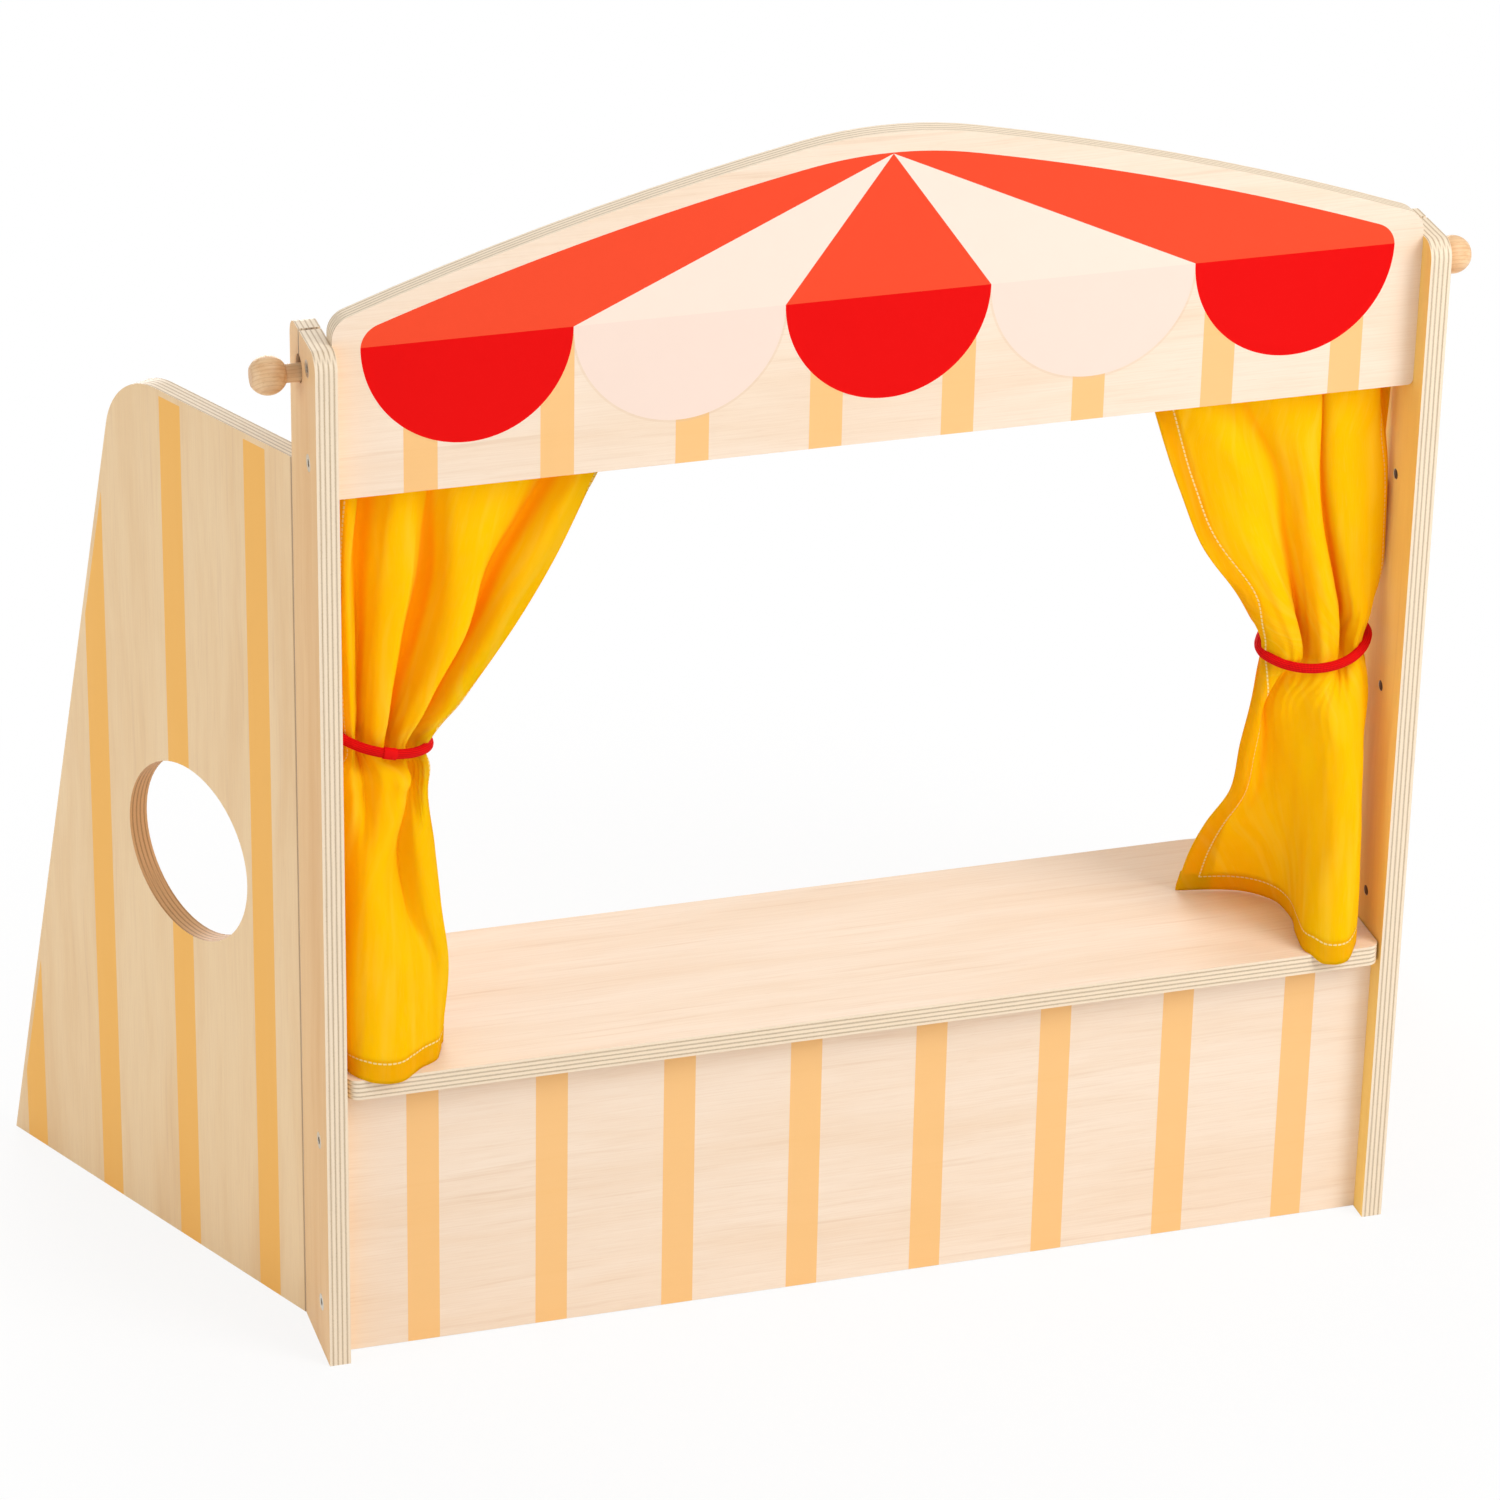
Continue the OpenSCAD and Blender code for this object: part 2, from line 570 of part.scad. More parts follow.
post(left);  // left_post
post(right);  // right_post
header_board();
front_panel();
stage_shelf();
board_screws(header_screw_z);  // header_screws
board_screws(panel_screw_z);  // panel_screws
shelf_dowels();
wing(left);  // left_wing
wing(right);  // right_wing
post_leaf(left, high_hinge_z);  // left_upper_post_leaf
wing_leaf(left, high_hinge_z);  // left_upper_wing_leaf
hinge_pin(left, high_hinge_z);  // left_upper_hinge_pin
post_leaf(left, low_hinge_z);  // left_lower_post_leaf
wing_leaf(left, low_hinge_z);  // left_lower_wing_leaf
hinge_pin(left, low_hinge_z);  // left_lower_hinge_pin
post_leaf(right, high_hinge_z);  // right_upper_post_leaf
wing_leaf(right, high_hinge_z);  // right_upper_wing_leaf
hinge_pin(right, high_hinge_z);  // right_upper_hinge_pin
post_leaf(right, low_hinge_z);  // right_lower_post_leaf
wing_leaf(right, low_hinge_z);  // right_lower_wing_leaf
hinge_pin(right, low_hinge_z);  // right_lower_hinge_pin
post_leaf_screws(left);  // left_post_leaf_screws
wing_leaf_screws(left);  // left_wing_leaf_screws
post_leaf_screws(right);  // right_post_leaf_screws
wing_leaf_screws(right);  // right_wing_leaf_screws
curtain_rod();
rod_ball(left);  // left_rod_ball
rod_ball(right);  // right_rod_ball
curtain(left, left_waist, left_curtain_w, left_hem);  // left_curtain
curtain(right, right_waist, right_curtain_w, right_hem);  // right_curtain
left_tie();
right_tie();
left_tie_sleeve();
right_tie_sleeve();
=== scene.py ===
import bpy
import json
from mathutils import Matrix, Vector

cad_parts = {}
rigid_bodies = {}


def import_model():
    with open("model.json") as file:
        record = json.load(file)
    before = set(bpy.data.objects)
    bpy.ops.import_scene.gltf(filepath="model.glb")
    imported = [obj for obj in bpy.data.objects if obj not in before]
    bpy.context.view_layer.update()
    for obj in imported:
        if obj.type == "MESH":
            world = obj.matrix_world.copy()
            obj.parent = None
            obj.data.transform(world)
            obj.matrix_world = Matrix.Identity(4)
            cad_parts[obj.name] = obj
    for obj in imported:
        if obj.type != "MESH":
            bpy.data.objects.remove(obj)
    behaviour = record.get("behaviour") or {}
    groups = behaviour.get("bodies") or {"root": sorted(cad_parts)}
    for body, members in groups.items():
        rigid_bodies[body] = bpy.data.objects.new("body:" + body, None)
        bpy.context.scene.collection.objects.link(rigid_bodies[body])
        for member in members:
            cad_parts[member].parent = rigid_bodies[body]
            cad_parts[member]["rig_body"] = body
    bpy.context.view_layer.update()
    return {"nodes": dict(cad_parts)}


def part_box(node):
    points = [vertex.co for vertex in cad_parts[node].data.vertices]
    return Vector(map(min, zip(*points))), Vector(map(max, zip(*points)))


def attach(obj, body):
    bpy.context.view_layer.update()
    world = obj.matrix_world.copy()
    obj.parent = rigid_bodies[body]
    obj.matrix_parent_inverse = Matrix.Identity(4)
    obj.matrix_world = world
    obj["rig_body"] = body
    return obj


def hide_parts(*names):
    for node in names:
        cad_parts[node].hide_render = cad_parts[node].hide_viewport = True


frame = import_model()

import json
import math

import bmesh
import bpy
import numpy as np
from mathutils import Matrix, Vector

# Shared places in millimetres, read from the frame; back is measured from the posts' front edges
mm = 0.001
postBox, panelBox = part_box("left_post"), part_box("front_panel")
shelfBox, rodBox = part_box("stage_shelf"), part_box("curtain_rod")
outerX, innerX = -postBox[0].x / mm, -postBox[1].x / mm
frontY, backY = postBox[0].y / mm, postBox[1].y / mm
boardY = panelBox[0].y / mm
shelfZ = shelfBox[0].z / mm
rodBack = (rodBox[0].y + rodBox[1].y) / 2 / mm - frontY
rodZ = (rodBox[0].z + rodBox[1].z) / 2 / mm
rodHoleZ, rodHoleR = 586.5, 7.5
splay = math.radians(26)
axisX, axisY, axisZ = (1, 0, 0), (0, 1, 0), (0, 0, 1)

print("stage and camera")

view = {  # fitted to edges in the photograph, in metres, degrees, pixels and millimetres
    "place": (-0.95838, -3.01882, 1.89553),
    "yaw": 17.114, "pitch": 27.223, "roll": -1.141,
    "focal": 6273.77, "image": 1500, "sensor": 36, "clip": (0.1, 60),
}

light = {
    "worldStrength": 0.53,
    "aim": (0, 0, 0.34),
    "lamps": {  # place, size and power
        "key": ((1.5, -1.8, 1.8), 1.3, 27),
        "high": ((1.0, -1.5, 2.9), 1.6, 23),
        "side": ((-2.7, -0.4, 0.9), 1.8, 13.8),
        "back": ((0.2, 2.7, 0.8), 2.0, 51),
    },
}

paper = {  # glow: how white it shows under the theatre, fade: where it turns all white
    "radius": 9, "segments": 64, "tone": (0.9, 0.9, 0.9), "rough": 0.9,
    "glow": 0.86, "fade": (0.35, 0.75),
}


def added(name, data):  # a new object in the scene
    thing = bpy.data.objects.new(name, data)
    bpy.context.scene.collection.objects.link(thing)
    return thing


def solid(name, shape):  # a new object from a finished shape
    mesh = bpy.data.meshes.new(name)
    shape.to_mesh(mesh)
    shape.free()
    return added(name, mesh)


def makeCamera(s):
    yaw, pitch, roll = (math.radians(s[key]) for key in ("yaw", "pitch", "roll"))
    ahead = Vector((math.sin(yaw) * math.cos(pitch), math.cos(yaw) * math.cos(pitch), -math.sin(pitch)))
    across = Vector((math.cos(yaw), -math.sin(yaw), 0))
    down = ahead.cross(across)
    right = across * math.cos(roll) + down * math.sin(roll)
    below = down * math.cos(roll) - across * math.sin(roll)
    data = bpy.data.cameras.new("camera")
    data.sensor_width = s["sensor"]
    data.lens = s["sensor"] * s["focal"] / s["image"]
    data.clip_start, data.clip_end = s["clip"]
    camera = added("camera", data)
    camera.matrix_world = Matrix((
        (right.x, -below.x, -ahead.x, s["place"][0]),
        (right.y, -below.y, -ahead.y, s["place"][1]),
        (right.z, -below.z, -ahead.z, s["place"][2]),
        (0, 0, 0, 1)))
    bpy.context.scene.camera = camera


def makeLamp(name, place, size, power, aim):
    data = bpy.data.lights.new(name, "AREA")
    data.shape, data.size, data.energy = "DISK", size, power
    lamp = added(name, data)
    lamp.location = place
    lamp.rotation_mode = "QUATERNION"
    lamp.rotation_quaternion = (Vector(aim) - Vector(place)).to_track_quat("-Z", "Y")


def makeLight(s):
    world = bpy.data.worlds.new("world")
    bpy.context.scene.world = world
    world.use_nodes = True
    tree = world.node_tree
    sky = tree.nodes["Background"]
    sky.inputs["Color"].default_value = (1, 1, 1, 1)
    # the camera sees plain white, and the theatre gets the weaker light
    seen, strength = tree.nodes.new("ShaderNodeLightPath"), tree.nodes.new("ShaderNodeMapRange")
    tree.links.new(seen.outputs["Is Camera Ray"], strength.inputs["Value"])
    strength.inputs["To Min"].default_value = s["worldStrength"]
    tree.links.new(strength.outputs[0], sky.inputs["Strength"])
    for name, (place, size, power) in s["lamps"].items():
        makeLamp(name, place, size, power, s["aim"])


class Wire:  # a shader socket that can be used in sums
    def __init__(self, finish, socket):
        self.finish, self.socket = finish, socket

    def __add__(self, other):
        return self.finish.calc("ADD", self, other)

    def __radd__(self, other):
        return self.finish.calc("ADD", other, self)

    def __sub__(self, other):
        return self.finish.calc("SUBTRACT", self, other)

    def __rsub__(self, other):
        return self.finish.calc("SUBTRACT", other, self)

    def __mul__(self, other):
        return self.finish.calc("MULTIPLY", self, other)

    def __rmul__(self, other):
        return self.finish.calc("MULTIPLY", other, self)

    def __truediv__(self, other):
        return self.finish.calc("DIVIDE", self, other)

    def __lt__(self, other):
        return self.finish.calc("LESS_THAN", self, other)

    def __gt__(self, other):
        return self.finish.calc("GREATER_THAN", self, other)

    def __abs__(self):
        return self.finish.calc("ABSOLUTE", self)


class Finish:  # a material whose nodes are written as sums
    def __init__(self, name):
        self.material = bpy.data.materials.new(name)
        self.material.use_nodes = True
        self.tree = self.material.node_tree
        self.shader = self.tree.nodes["Principled BSDF"]

    def feed(self, socket, value):
        if isinstance(value, Wire):
            self.tree.links.new(value.socket, socket)
        elif hasattr(value, "__len__") and len(value) == 3 and socket.type == "RGBA":
            socket.default_value = (*value, 1)
        else:
            socket.default_value = value

    def node(self, kind, settings=None, values=None, out=0):
        made = self.tree.nodes.new(kind)
        for key, value in (settings or {}).items():
            setattr(made, key, value)
        for key, value in (values or {}).items():
            self.feed(made.inputs[key], value)
        return Wire(self, made.outputs[out])

    def calc(self, operation, a, b=0):
        return self.node("ShaderNodeMath", {"operation": operation}, {0: a, 1: b})

    def smooth(self, value, low, high):
        return self.node("ShaderNodeMapRange", {"interpolation_type": "SMOOTHSTEP"},
                         {"Value": value, "From Min": low, "From Max": high})

    def mix(self, mask, a, b, mode="MIX"):
        return self.node("ShaderNodeMix", {"data_type": "RGBA", "blend_type": mode},
                         {0: mask, 6: a, 7: b}, 2)

    def tinted(self, colour, tint):
        return self.mix(1.0, colour, tint, "MULTIPLY")

    def dot(self, vector, axis):
        return self.node("ShaderNodeVectorMath", {"operation": "DOT_PRODUCT"},
                         {0: vector, 1: axis}, "Value")

    def far(self, vector):
        return self.node("ShaderNodeVectorMath", {"operation": "LENGTH"}, {0: vector}, "Value")

    def joined(self, x, y, z):
        return self.node("ShaderNodeCombineXYZ", None, {0: x, 1: y, 2: z})

    def cloud(self, vector, scale=1, detail=3, rough=0.55):
        return self.node("ShaderNodeTexNoise", None,
                         {"Vector": vector, "Scale": scale, "Detail": detail, "Roughness": rough})

    def place(self, kind="Object"):
        return self.node("ShaderNodeTexCoord", None, None, kind)

    def bump(self, height, strength, distance):
        made = self.node("ShaderNodeBump", None,
                         {"Height": height, "Strength": strength, "Distance": distance})
        self.feed(self.shader.inputs["Normal"], made)

    def finish(self, colour, rough, **constants):
        self.feed(self.shader.inputs["Base Color"], colour)
        self.feed(self.shader.inputs["Roughness"], rough)
        for key, value in constants.items():
            self.shader.inputs[key.replace("_", " ")].default_value = value
        return self.material

    def blend(self, mask, other):  # mixes another shader over the main one
        mixed = self.node("ShaderNodeMixShader", None,
                          {0: mask, 1: Wire(self, self.shader.outputs[0]), 2: other})
        self.feed(self.tree.nodes["Material Output"].inputs["Surface"], mixed)


def srgb(red, green, blue):  # a colour as a picture shows it, for a shader
    return tuple(c / 12.92 if c <= 0.04045 else ((c + 0.055) / 1.055) ** 2.4
                 for c in (red / 255, green / 255, blue / 255))


def makeFloor(s):
    shape = bmesh.new()
    bmesh.ops.create_circle(shape, cap_ends=True, segments=s["segments"], radius=s["radius"])
    floor = solid("floor", shape)
    m = Finish("floorPaper")
    m.finish(s["tone"], s["rough"])
    # the camera and the reflections see it glow, so that the ground shows white
    seen = m.node("ShaderNodeLightPath") + m.node("ShaderNodeLightPath", None, None, "Is Glossy Ray")
    white = s["glow"] + (1 - s["glow"]) * m.smooth(m.far(m.place()), *s["fade"])
    m.blend(white * seen, m.node("ShaderNodeEmission"))
    floor.data.materials.append(m.material)


bpy.context.scene.view_settings.view_transform = "Standard"
makeCamera(view)
makeLight(light)
makeFloor(paper)


print("boards")

wood = {
    "plies": 9, "thick": 12,
    "pale": srgb(250, 230, 209), "warm": srgb(245, 220, 194), "streak": srgb(222, 184, 147),
    # the side tones are a darker, warmer copy of the veneer tones: painted shade for the sideways faces of
    # posts and wings
    "shadedSidePale": srgb(246, 217, 175), "shadedSideWarm": srgb(237, 201, 154),
    "edgeLight": srgb(245, 227, 201), "edgeDark": srgb(197, 173, 143), "glue": srgb(150, 122, 92),
    # painted light on the posts: an orange tint on the inner faces for the curtains' bounce light, a darker,
    # warmer tint on the outer faces for shade
    "paintedBounceTint": (1.08, 0.97, 0.46), "paintedOuterShade": (0.95, 0.85, 0.74),  # the posts' two faces
    # the dark brown for the posts' holes and slit is drill and saw browning together with painted shade
    # the wings' darkest edge tone is a painted shadow along the gap to the post
    "paintedGapShadow": srgb(120, 78, 52), "burntAndShade": srgb(112, 68, 40), "grainBump": 0.35,
    "handTint": (0.76, 0.54, 0.35),
    "handHole": (98, 253.5), "handWall": (53.2, 54.4),  # the hand hole's middle and where its wall ends
}

ink = {  # the tone, and how well it covers the grain
    "stripe": (srgb(250, 196, 124), 0.92), "wingStripe": (srgb(251, 189, 94), 0.92),
    "outline": (srgb(226, 192, 158), 0.3), "cream": (srgb(248, 224, 209), 1.03),
    "red": (srgb(234, 0, 0), 1.03), "canopy": (srgb(246, 76, 44), 1.03),
    "creamCanopy": (srgb(250, 230, 214), 1.03),
}

stripe = {
    "width": 18.2,
    "panel": (37.6, 73.2), "header": (39.45, 73.3), "wing": (32.0, 72.35),  # a stripe's middle and the pitch
    "half": 290, "panelMiddle": 1, "headerMiddle": 2.8, "headerGap": 4,  # where the striped fields end
    "wingStart": 20, "wingGap": 3, "wingFoot": 271, "wingLean": 118 / 527, "wingTop": 523.5,
}

canopy = {  # ends: where the scallops meet, reach: how far they hang below the base
    "base": 605.2, "apex": (-0.5, 684.4), "reach": 59.0, "rim": 1.045,
    "ends": (-285.1, -171.9, -57.3, 55.8, 170.1, 283.7), "middle": -0.7,
    "sideR": 1659, "sideX": 280, "sideZ": -946.2, "peakR": 234, "peakZ": 451, "cornerR": 14,
}

boards = {
    # along: the face grain, across: the other way in the board, through: its thickness, from start,
    # round: the radius of its edges, shift: what moves its grain
    "left_post": {"along": axisZ, "across": axisY, "through": axisX, "start": -outerX,
                  "round": 1.7, "shift": 3.1},
    "right_post": {"along": axisZ, "across": axisY, "through": axisX, "start": innerX,
                   "round": 1.7, "shift": 8.3},
    "header_board": {"along": axisX, "across": axisZ, "through": axisY, "start": boardY,
                     "round": 1.5, "shift": 0.4},
    "front_panel": {"along": axisX, "across": axisZ, "through": axisY, "start": boardY,
                    "round": 0.6, "shift": 5.7},
    "stage_shelf": {"along": axisX, "across": axisY, "through": axisZ, "start": shelfZ,
                    "round": 1.6, "shift": 9.9, "tint": (0.95, 0.945, 0.94)},
    "left_wing": {"round": 1.5, "shift": 12.4},
    "right_wing": {"round": 1.5, "shift": 14.8},
}
# A wing's length runs back and outwards at the splay angle from the post's side
for name, side in (("left_wing", -1), ("right_wing", 1)):
    across = (side * math.sin(splay), math.cos(splay), 0)
    through = (-side * math.cos(splay), math.sin(splay), 0)
    boards[name].update({
        "along": axisZ, "across": across, "through": through,
        "start": side * outerX * through[0] + backY * through[1],
        "foot": side * outerX * across[0] + backY * across[1]})

postHoles = [  # back, height, radius and the rounding of the rim
    (rodBack, rodHoleZ, rodHoleR, 0.5),
    *((19, z, 4.85, 0.35) for z in (541, 594, 30.5, 134.5)),
    *((27.4, z, 3, 0.35) for z in (201, 331, 461)),
]
slit = {"half": (1.1, 1.5), "from": 590, "zone": 2.2}  # above the rod hole; its edges lie in the zone

rounding = {  # angles in degrees
    "merge": 2e-6, "flat": 0.4, "sharp": 35, "keepSharp": 42, "holeZone": 1.2, "weight": 80,
}


def boardFinish(name, s, prints):
    m = Finish(name + "Wood")
    post, wing = name.endswith("post"), name.endswith("wing")
    spot, normal = m.place(), m.place("Normal")
    along = m.dot(spot, s["along"]) + s["shift"]
    across = m.dot(spot, s["across"])
    depth = m.dot(spot, s["through"]) * 1000 - s["start"]
    high = m.dot(spot, (0, 0, 1000))
    # long soft figure, thin streaks and short pores of the face veneer
    sway = m.cloud(m.joined(along * 5, across * 9, s["shift"]), 1, 2) - 0.5
    figure = m.cloud(m.joined(along * 3.2, (across + sway * 0.03) * 34, s["shift"]), 1, 4, 0.6)
    line = m.cloud(m.joined(along * 7, (across + sway * 0.012) * 260, s["shift"]), 1, 3, 0.6)
    thread = m.cloud(m.joined(along * 26, across * 1150, depth * 0.3), 1, 2, 0.5)
    pore = m.smooth(m.cloud(m.joined(along * 95, across * 1700, s["shift"]), 1, 1), 0.66, 0.8)
    # posts and wings take the darker side copy of the veneer tones: painted shade on their sideways faces
    tones = ("shadedSidePale", "shadedSideWarm") if post or wing else ("pale", "warm")
    veneer = m.mix(m.smooth(figure, 0.34, 0.72), *(wood[tone] for tone in tones))
    for mask in (m.smooth(line, 0.56, 0.78) * 0.34, m.smooth(thread, 0.35, 0.75) * 0.16, pore * 0.22):
        veneer = m.mix(mask, veneer, wood["streak"])
    if "tint" in s:
        veneer = m.tinted(veneer, s["tint"])
    # painted light: the inner face gets the orange bounce-light tint, the outer face the darker shade tint
    if post:
        inner = m.dot(normal, (-1 if name == "right_post" else 1, 0, 0))
        veneer = m.tinted(veneer, m.mix(inner > 0, wood["paintedOuterShade"], wood["paintedBounceTint"]))
    if wing:
        # painted shadow: a dark line on the wing's face along its front edge, where the gap to the post lies
        # in shade
        run = across * 1000 - s["foot"]
        veneer = m.mix((1 - m.smooth(run, 0.5, 1.9)) * 0.75, veneer, wood["paintedGapShadow"])
    # plies at the edges: every second one shows its end grain
    layer = depth / (wood["thick"] / wood["plies"])
    count = m.calc("FLOOR", layer)
    odd = m.calc("PINGPONG", count, 1)
    endAlong = m.smooth(abs(m.dot(normal, s["along"])), 0.45, 0.9)
    dark = odd * (1 - endAlong) + (1 - odd) * endAlong
    stretch = m.joined(along * 36, across * 36, layer * 1.9)
    speck = m.cloud(stretch, 1, 3, 0.7)
    fibre = m.cloud(m.joined(along * 900, across * 900, depth * 5), 1, 2, 0.6)
    inPly = 0.5 - abs(layer - count - 0.5)
    glue = 1 - m.smooth(inPly, 0.02, 0.14)
    core = m.smooth(inPly, speck * 0.2, 0.16 + speck * 0.4)
    edge = m.mix(dark * core * (0.4 + speck), wood["edgeLight"], wood["edgeDark"])
    edge = m.mix(m.smooth(fibre, 0.45, 0.75) * (0.08 + 0.3 * dark), edge, wood["glue"])
    edge = m.mix(glue * m.smooth(m.cloud(stretch, 0.8, 2), 0.35, 0.7) * 0.3, edge, wood["glue"])
    if wing:  # the cutter browned the wall of the hand hole
        holeRun, holeZ = wood["handHole"]
        wall = 1 - m.smooth(m.far(m.joined(run - holeRun, high - holeZ, 0)), *wood["handWall"])
        edge = m.mix(wall, edge, m.tinted(edge, wood["handTint"]))
    flat = m.smooth(abs(m.dot(normal, s["through"])), 0.55, 0.85)
    colour = m.mix(flat, edge, veneer)
    if post:
        colour = burntAndShadedWalls(m, colour, m.dot(spot, (0, 1000, 0)) - frontY, high, depth)
    if prints:
        front = (depth < 0.5) * flat
        for mask, part in prints(m, spot, s):
            tone, cover = ink[part]
            colour = m.mix(mask * front * (cover - 0.03 * thread), colour, tone)
    height = line * 0.5 + thread * 0.3 - pore * 0.4 + speck * dark * (1 - flat) * 0.8
    m.bump(height, wood["grainBump"], 0.00012)
    return m.finish(colour, 0.44 + 0.1 * line, Specular_IOR_Level=0.1)


def burntAndShadedWalls(m, colour, back, high, depth):  # a post's holes and slit, browned by the drill and the saw, and darkened with painted shade inside
    inside = (depth > 0.3) * (depth < wood["thick"] - 0.3)
    # partly browning, partly painted shade: the hole walls and the slit are darkened toward dark brown
    for a, b, reach, _ in postHoles:
        off = m.far(m.joined(back - a, high - b, 0))
        wall = (1 - m.smooth(off, reach + 0.1, reach + 0.45)) * inside
        colour = m.mix(wall * (0.3 if reach == rodHoleR else 0.72), colour, wood["burntAndShade"])
    cut = (1 - m.smooth(abs(back - rodBack), *slit["half"])) * (high > slit["from"])
    scorchAndShade = m.smooth(m.cloud(m.joined(high * 0.05, depth * 0.2, 5), 1, 2), 0.35, 0.65)
    return m.mix(cut * scorchAndShade * 0.7, colour, wood["burntAndShade"])


def striped(m, value, centre, pitch):  # 1 inside a stripe, for a value in millimetres
    turn = (value - centre) / pitch + 100.5
    away = abs(m.calc("FRACT", turn) - 0.5) * pitch
    return away < stripe["width"] / 2


def panelPrint(m, spot, s):
    x = m.dot(spot, (1000, 0, 0))
    inside = abs(x - stripe["panelMiddle"]) < stripe["half"]
    return [(striped(m, x, *stripe["panel"]) * inside, "stripe")]


def wingPrint(m, spot, s):
    run = m.dot(spot, s["across"]) * 1000 - s["foot"]
    z = m.dot(spot, (0, 0, 1000))
    slant = stripe["wingFoot"] - z * stripe["wingLean"]
    inside = (run > stripe["wingStart"]) * (run < slant - stripe["wingGap"]) * (z < stripe["wingTop"])
    return [(striped(m, run, *stripe["wing"]) * inside, "wingStripe")]


def square(value):
    return value * value


def headerPrint(m, spot, s):
    x = m.dot(spot, (1000, 0, 0))
    z = m.dot(spot, (0, 0, 1000))
    ends, base, apex = canopy["ends"], canopy["base"], canopy["apex"]
    inside = (abs(x - stripe["headerMiddle"]) < stripe["half"]) * (z < base - stripe["headerGap"])
    out = [(striped(m, x, *stripe["header"]) * inside, "stripe")]
    below = z < base
    scallops = [square((x - (a + b) / 2) / ((b - a) / 2)) + square((z - base) / canopy["reach"])
                for a, b in zip(ends, ends[1:])]
    red = (scallops[0] < 1) + (scallops[2] < 1) + (scallops[4] < 1)
    pale = (scallops[1] < 1) + (scallops[3] < 1)
    rim = ((scallops[1] < canopy["rim"]) + (scallops[3] < canopy["rim"])) * (1 - pale)
    out += [(rim * below, "outline"), (pale * below, "cream"), (red * below, "red")]
    # the canopy's outline lies inside the arch, with rounded ends
    sideR, sideX, sideZ = canopy["sideR"], canopy["sideX"], canopy["sideZ"]
    peakR, cornerR = canopy["peakR"], canopy["cornerR"]
    side = abs(x - canopy["middle"])
    corner = ends[-1] - canopy["middle"] - cornerR
    cornerZ = sideZ + math.sqrt((sideR - cornerR) ** 2 - (corner + sideX) ** 2)
    underSide = (square(side + sideX) + square(z - sideZ)) < sideR ** 2
    underPeak = (square(side) + square(z - canopy["peakZ"])) < peakR ** 2
    inPeak = side < sideX * peakR / (sideR - peakR)
    under = inPeak * underPeak + (1 - inPeak) * underSide
    past = side > corner + cornerR * (corner + sideX) / (sideR - cornerR)
    inCorner = (square(side - corner) + square(z - cornerZ)) < cornerR ** 2
    within = (z > base) * ((1 - past) * under + past * inCorner)
    fall = (apex[1] - z) / (apex[1] - base)
    ray = (x - apex[0]) / m.calc("MAXIMUM", fall, 0.0001) + apex[0]
    creamLeft = (ray > ends[1]) * (ray < ends[2])
    creamRight = (ray > ends[3]) * (ray < ends[4])
    creamy = (creamLeft + creamRight) * (z < apex[1])
    return out + [(within * (1 - creamy), "canopy"), (within * creamy, "creamCanopy")]


def roundedCopy(node, outline, segments=2, holes=()):
    # a copy of a CAD node's mesh with its sharp edges rounded; holes get their own radius
    s = rounding
    shape = bmesh.new()
    shape.from_mesh(frame["nodes"][node].data)
    bmesh.ops.remove_doubles(shape, verts=shape.verts, dist=s["merge"])
    bmesh.ops.dissolve_limit(shape, angle_limit=math.radians(s["flat"]), verts=shape.verts,
                             edges=shape.edges, delimit={"NORMAL"})
    jobs = {}
    for edge in shape.edges:
        if not edge.is_manifold or edge.calc_face_angle(0) < math.radians(s["sharp"]):
            continue
        middle = (edge.verts[0].co + edge.verts[1].co) / 2 * 1000
        back, size = middle.y - frontY, outline
        for a, b, reach, own in holes:
            inSlit = reach == rodHoleR and abs(back - a) < slit["zone"] and middle.z > b
            if inSlit or math.hypot(back - a, middle.z - b) < reach + s["holeZone"]:
                size = own
        jobs.setdefault(size, []).append(edge)
    for size in sorted(jobs, reverse=True):
        live = [edge for edge in jobs[size] if edge.is_valid]
        bmesh.ops.bevel(shape, geom=live, offset=size * mm, offset_type="OFFSET", affect="EDGES",
                        segments=segments, profile=0.5, material=-1, clamp_overlap=True)
    piece = solid(node + "_dressed", shape)
    for face in piece.data.polygons:
        face.use_smooth = True
    piece.data.set_sharp_from_angle(angle=math.radians(s["keepSharp"]))
    even = piece.modifiers.new("even", "WEIGHTED_NORMAL")
    even.keep_sharp = True
    even.weight = s["weight"]
    return piece


def fit(piece, material, body, node):  # gives a piece its finish and its body, and hides the node it stands for
    piece.data.materials.clear()
    piece.data.materials.append(material)
    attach(piece, body)
    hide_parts(node)


def makeBoards():
    prints = {"front_panel": panelPrint, "header_board": headerPrint,
              "left_wing": wingPrint, "right_wing": wingPrint}
    for name, s in boards.items():
        piece = roundedCopy(name, s["round"], 3, postHoles if name.endswith("post") else ())
        body = name if name.endswith("wing") else "frame"
        fit(piece, boardFinish(name, s, prints.get(name)), body, name)


makeBoards()


print("rod, balls and metal")

turned = {"pale": srgb(243, 206, 160), "warm": srgb(228, 180, 130), "fleck": srgb(188, 134, 88)}

rodParts = {  # the middle along the rod and the rounding
    "curtain_rod": (0, 0.5), "left_rod_ball": (-328.5, 0.35), "right_rod_ball": (328.5, 0.35),
}

metal = {
    "zinc": srgb(196, 194, 188), "screw": srgb(216, 210, 198), "rough": 0.3, "blot": 0.72,
    "leafRound": 0.3, "screwRound": 0.18, "dowelRound": 0.6,
}


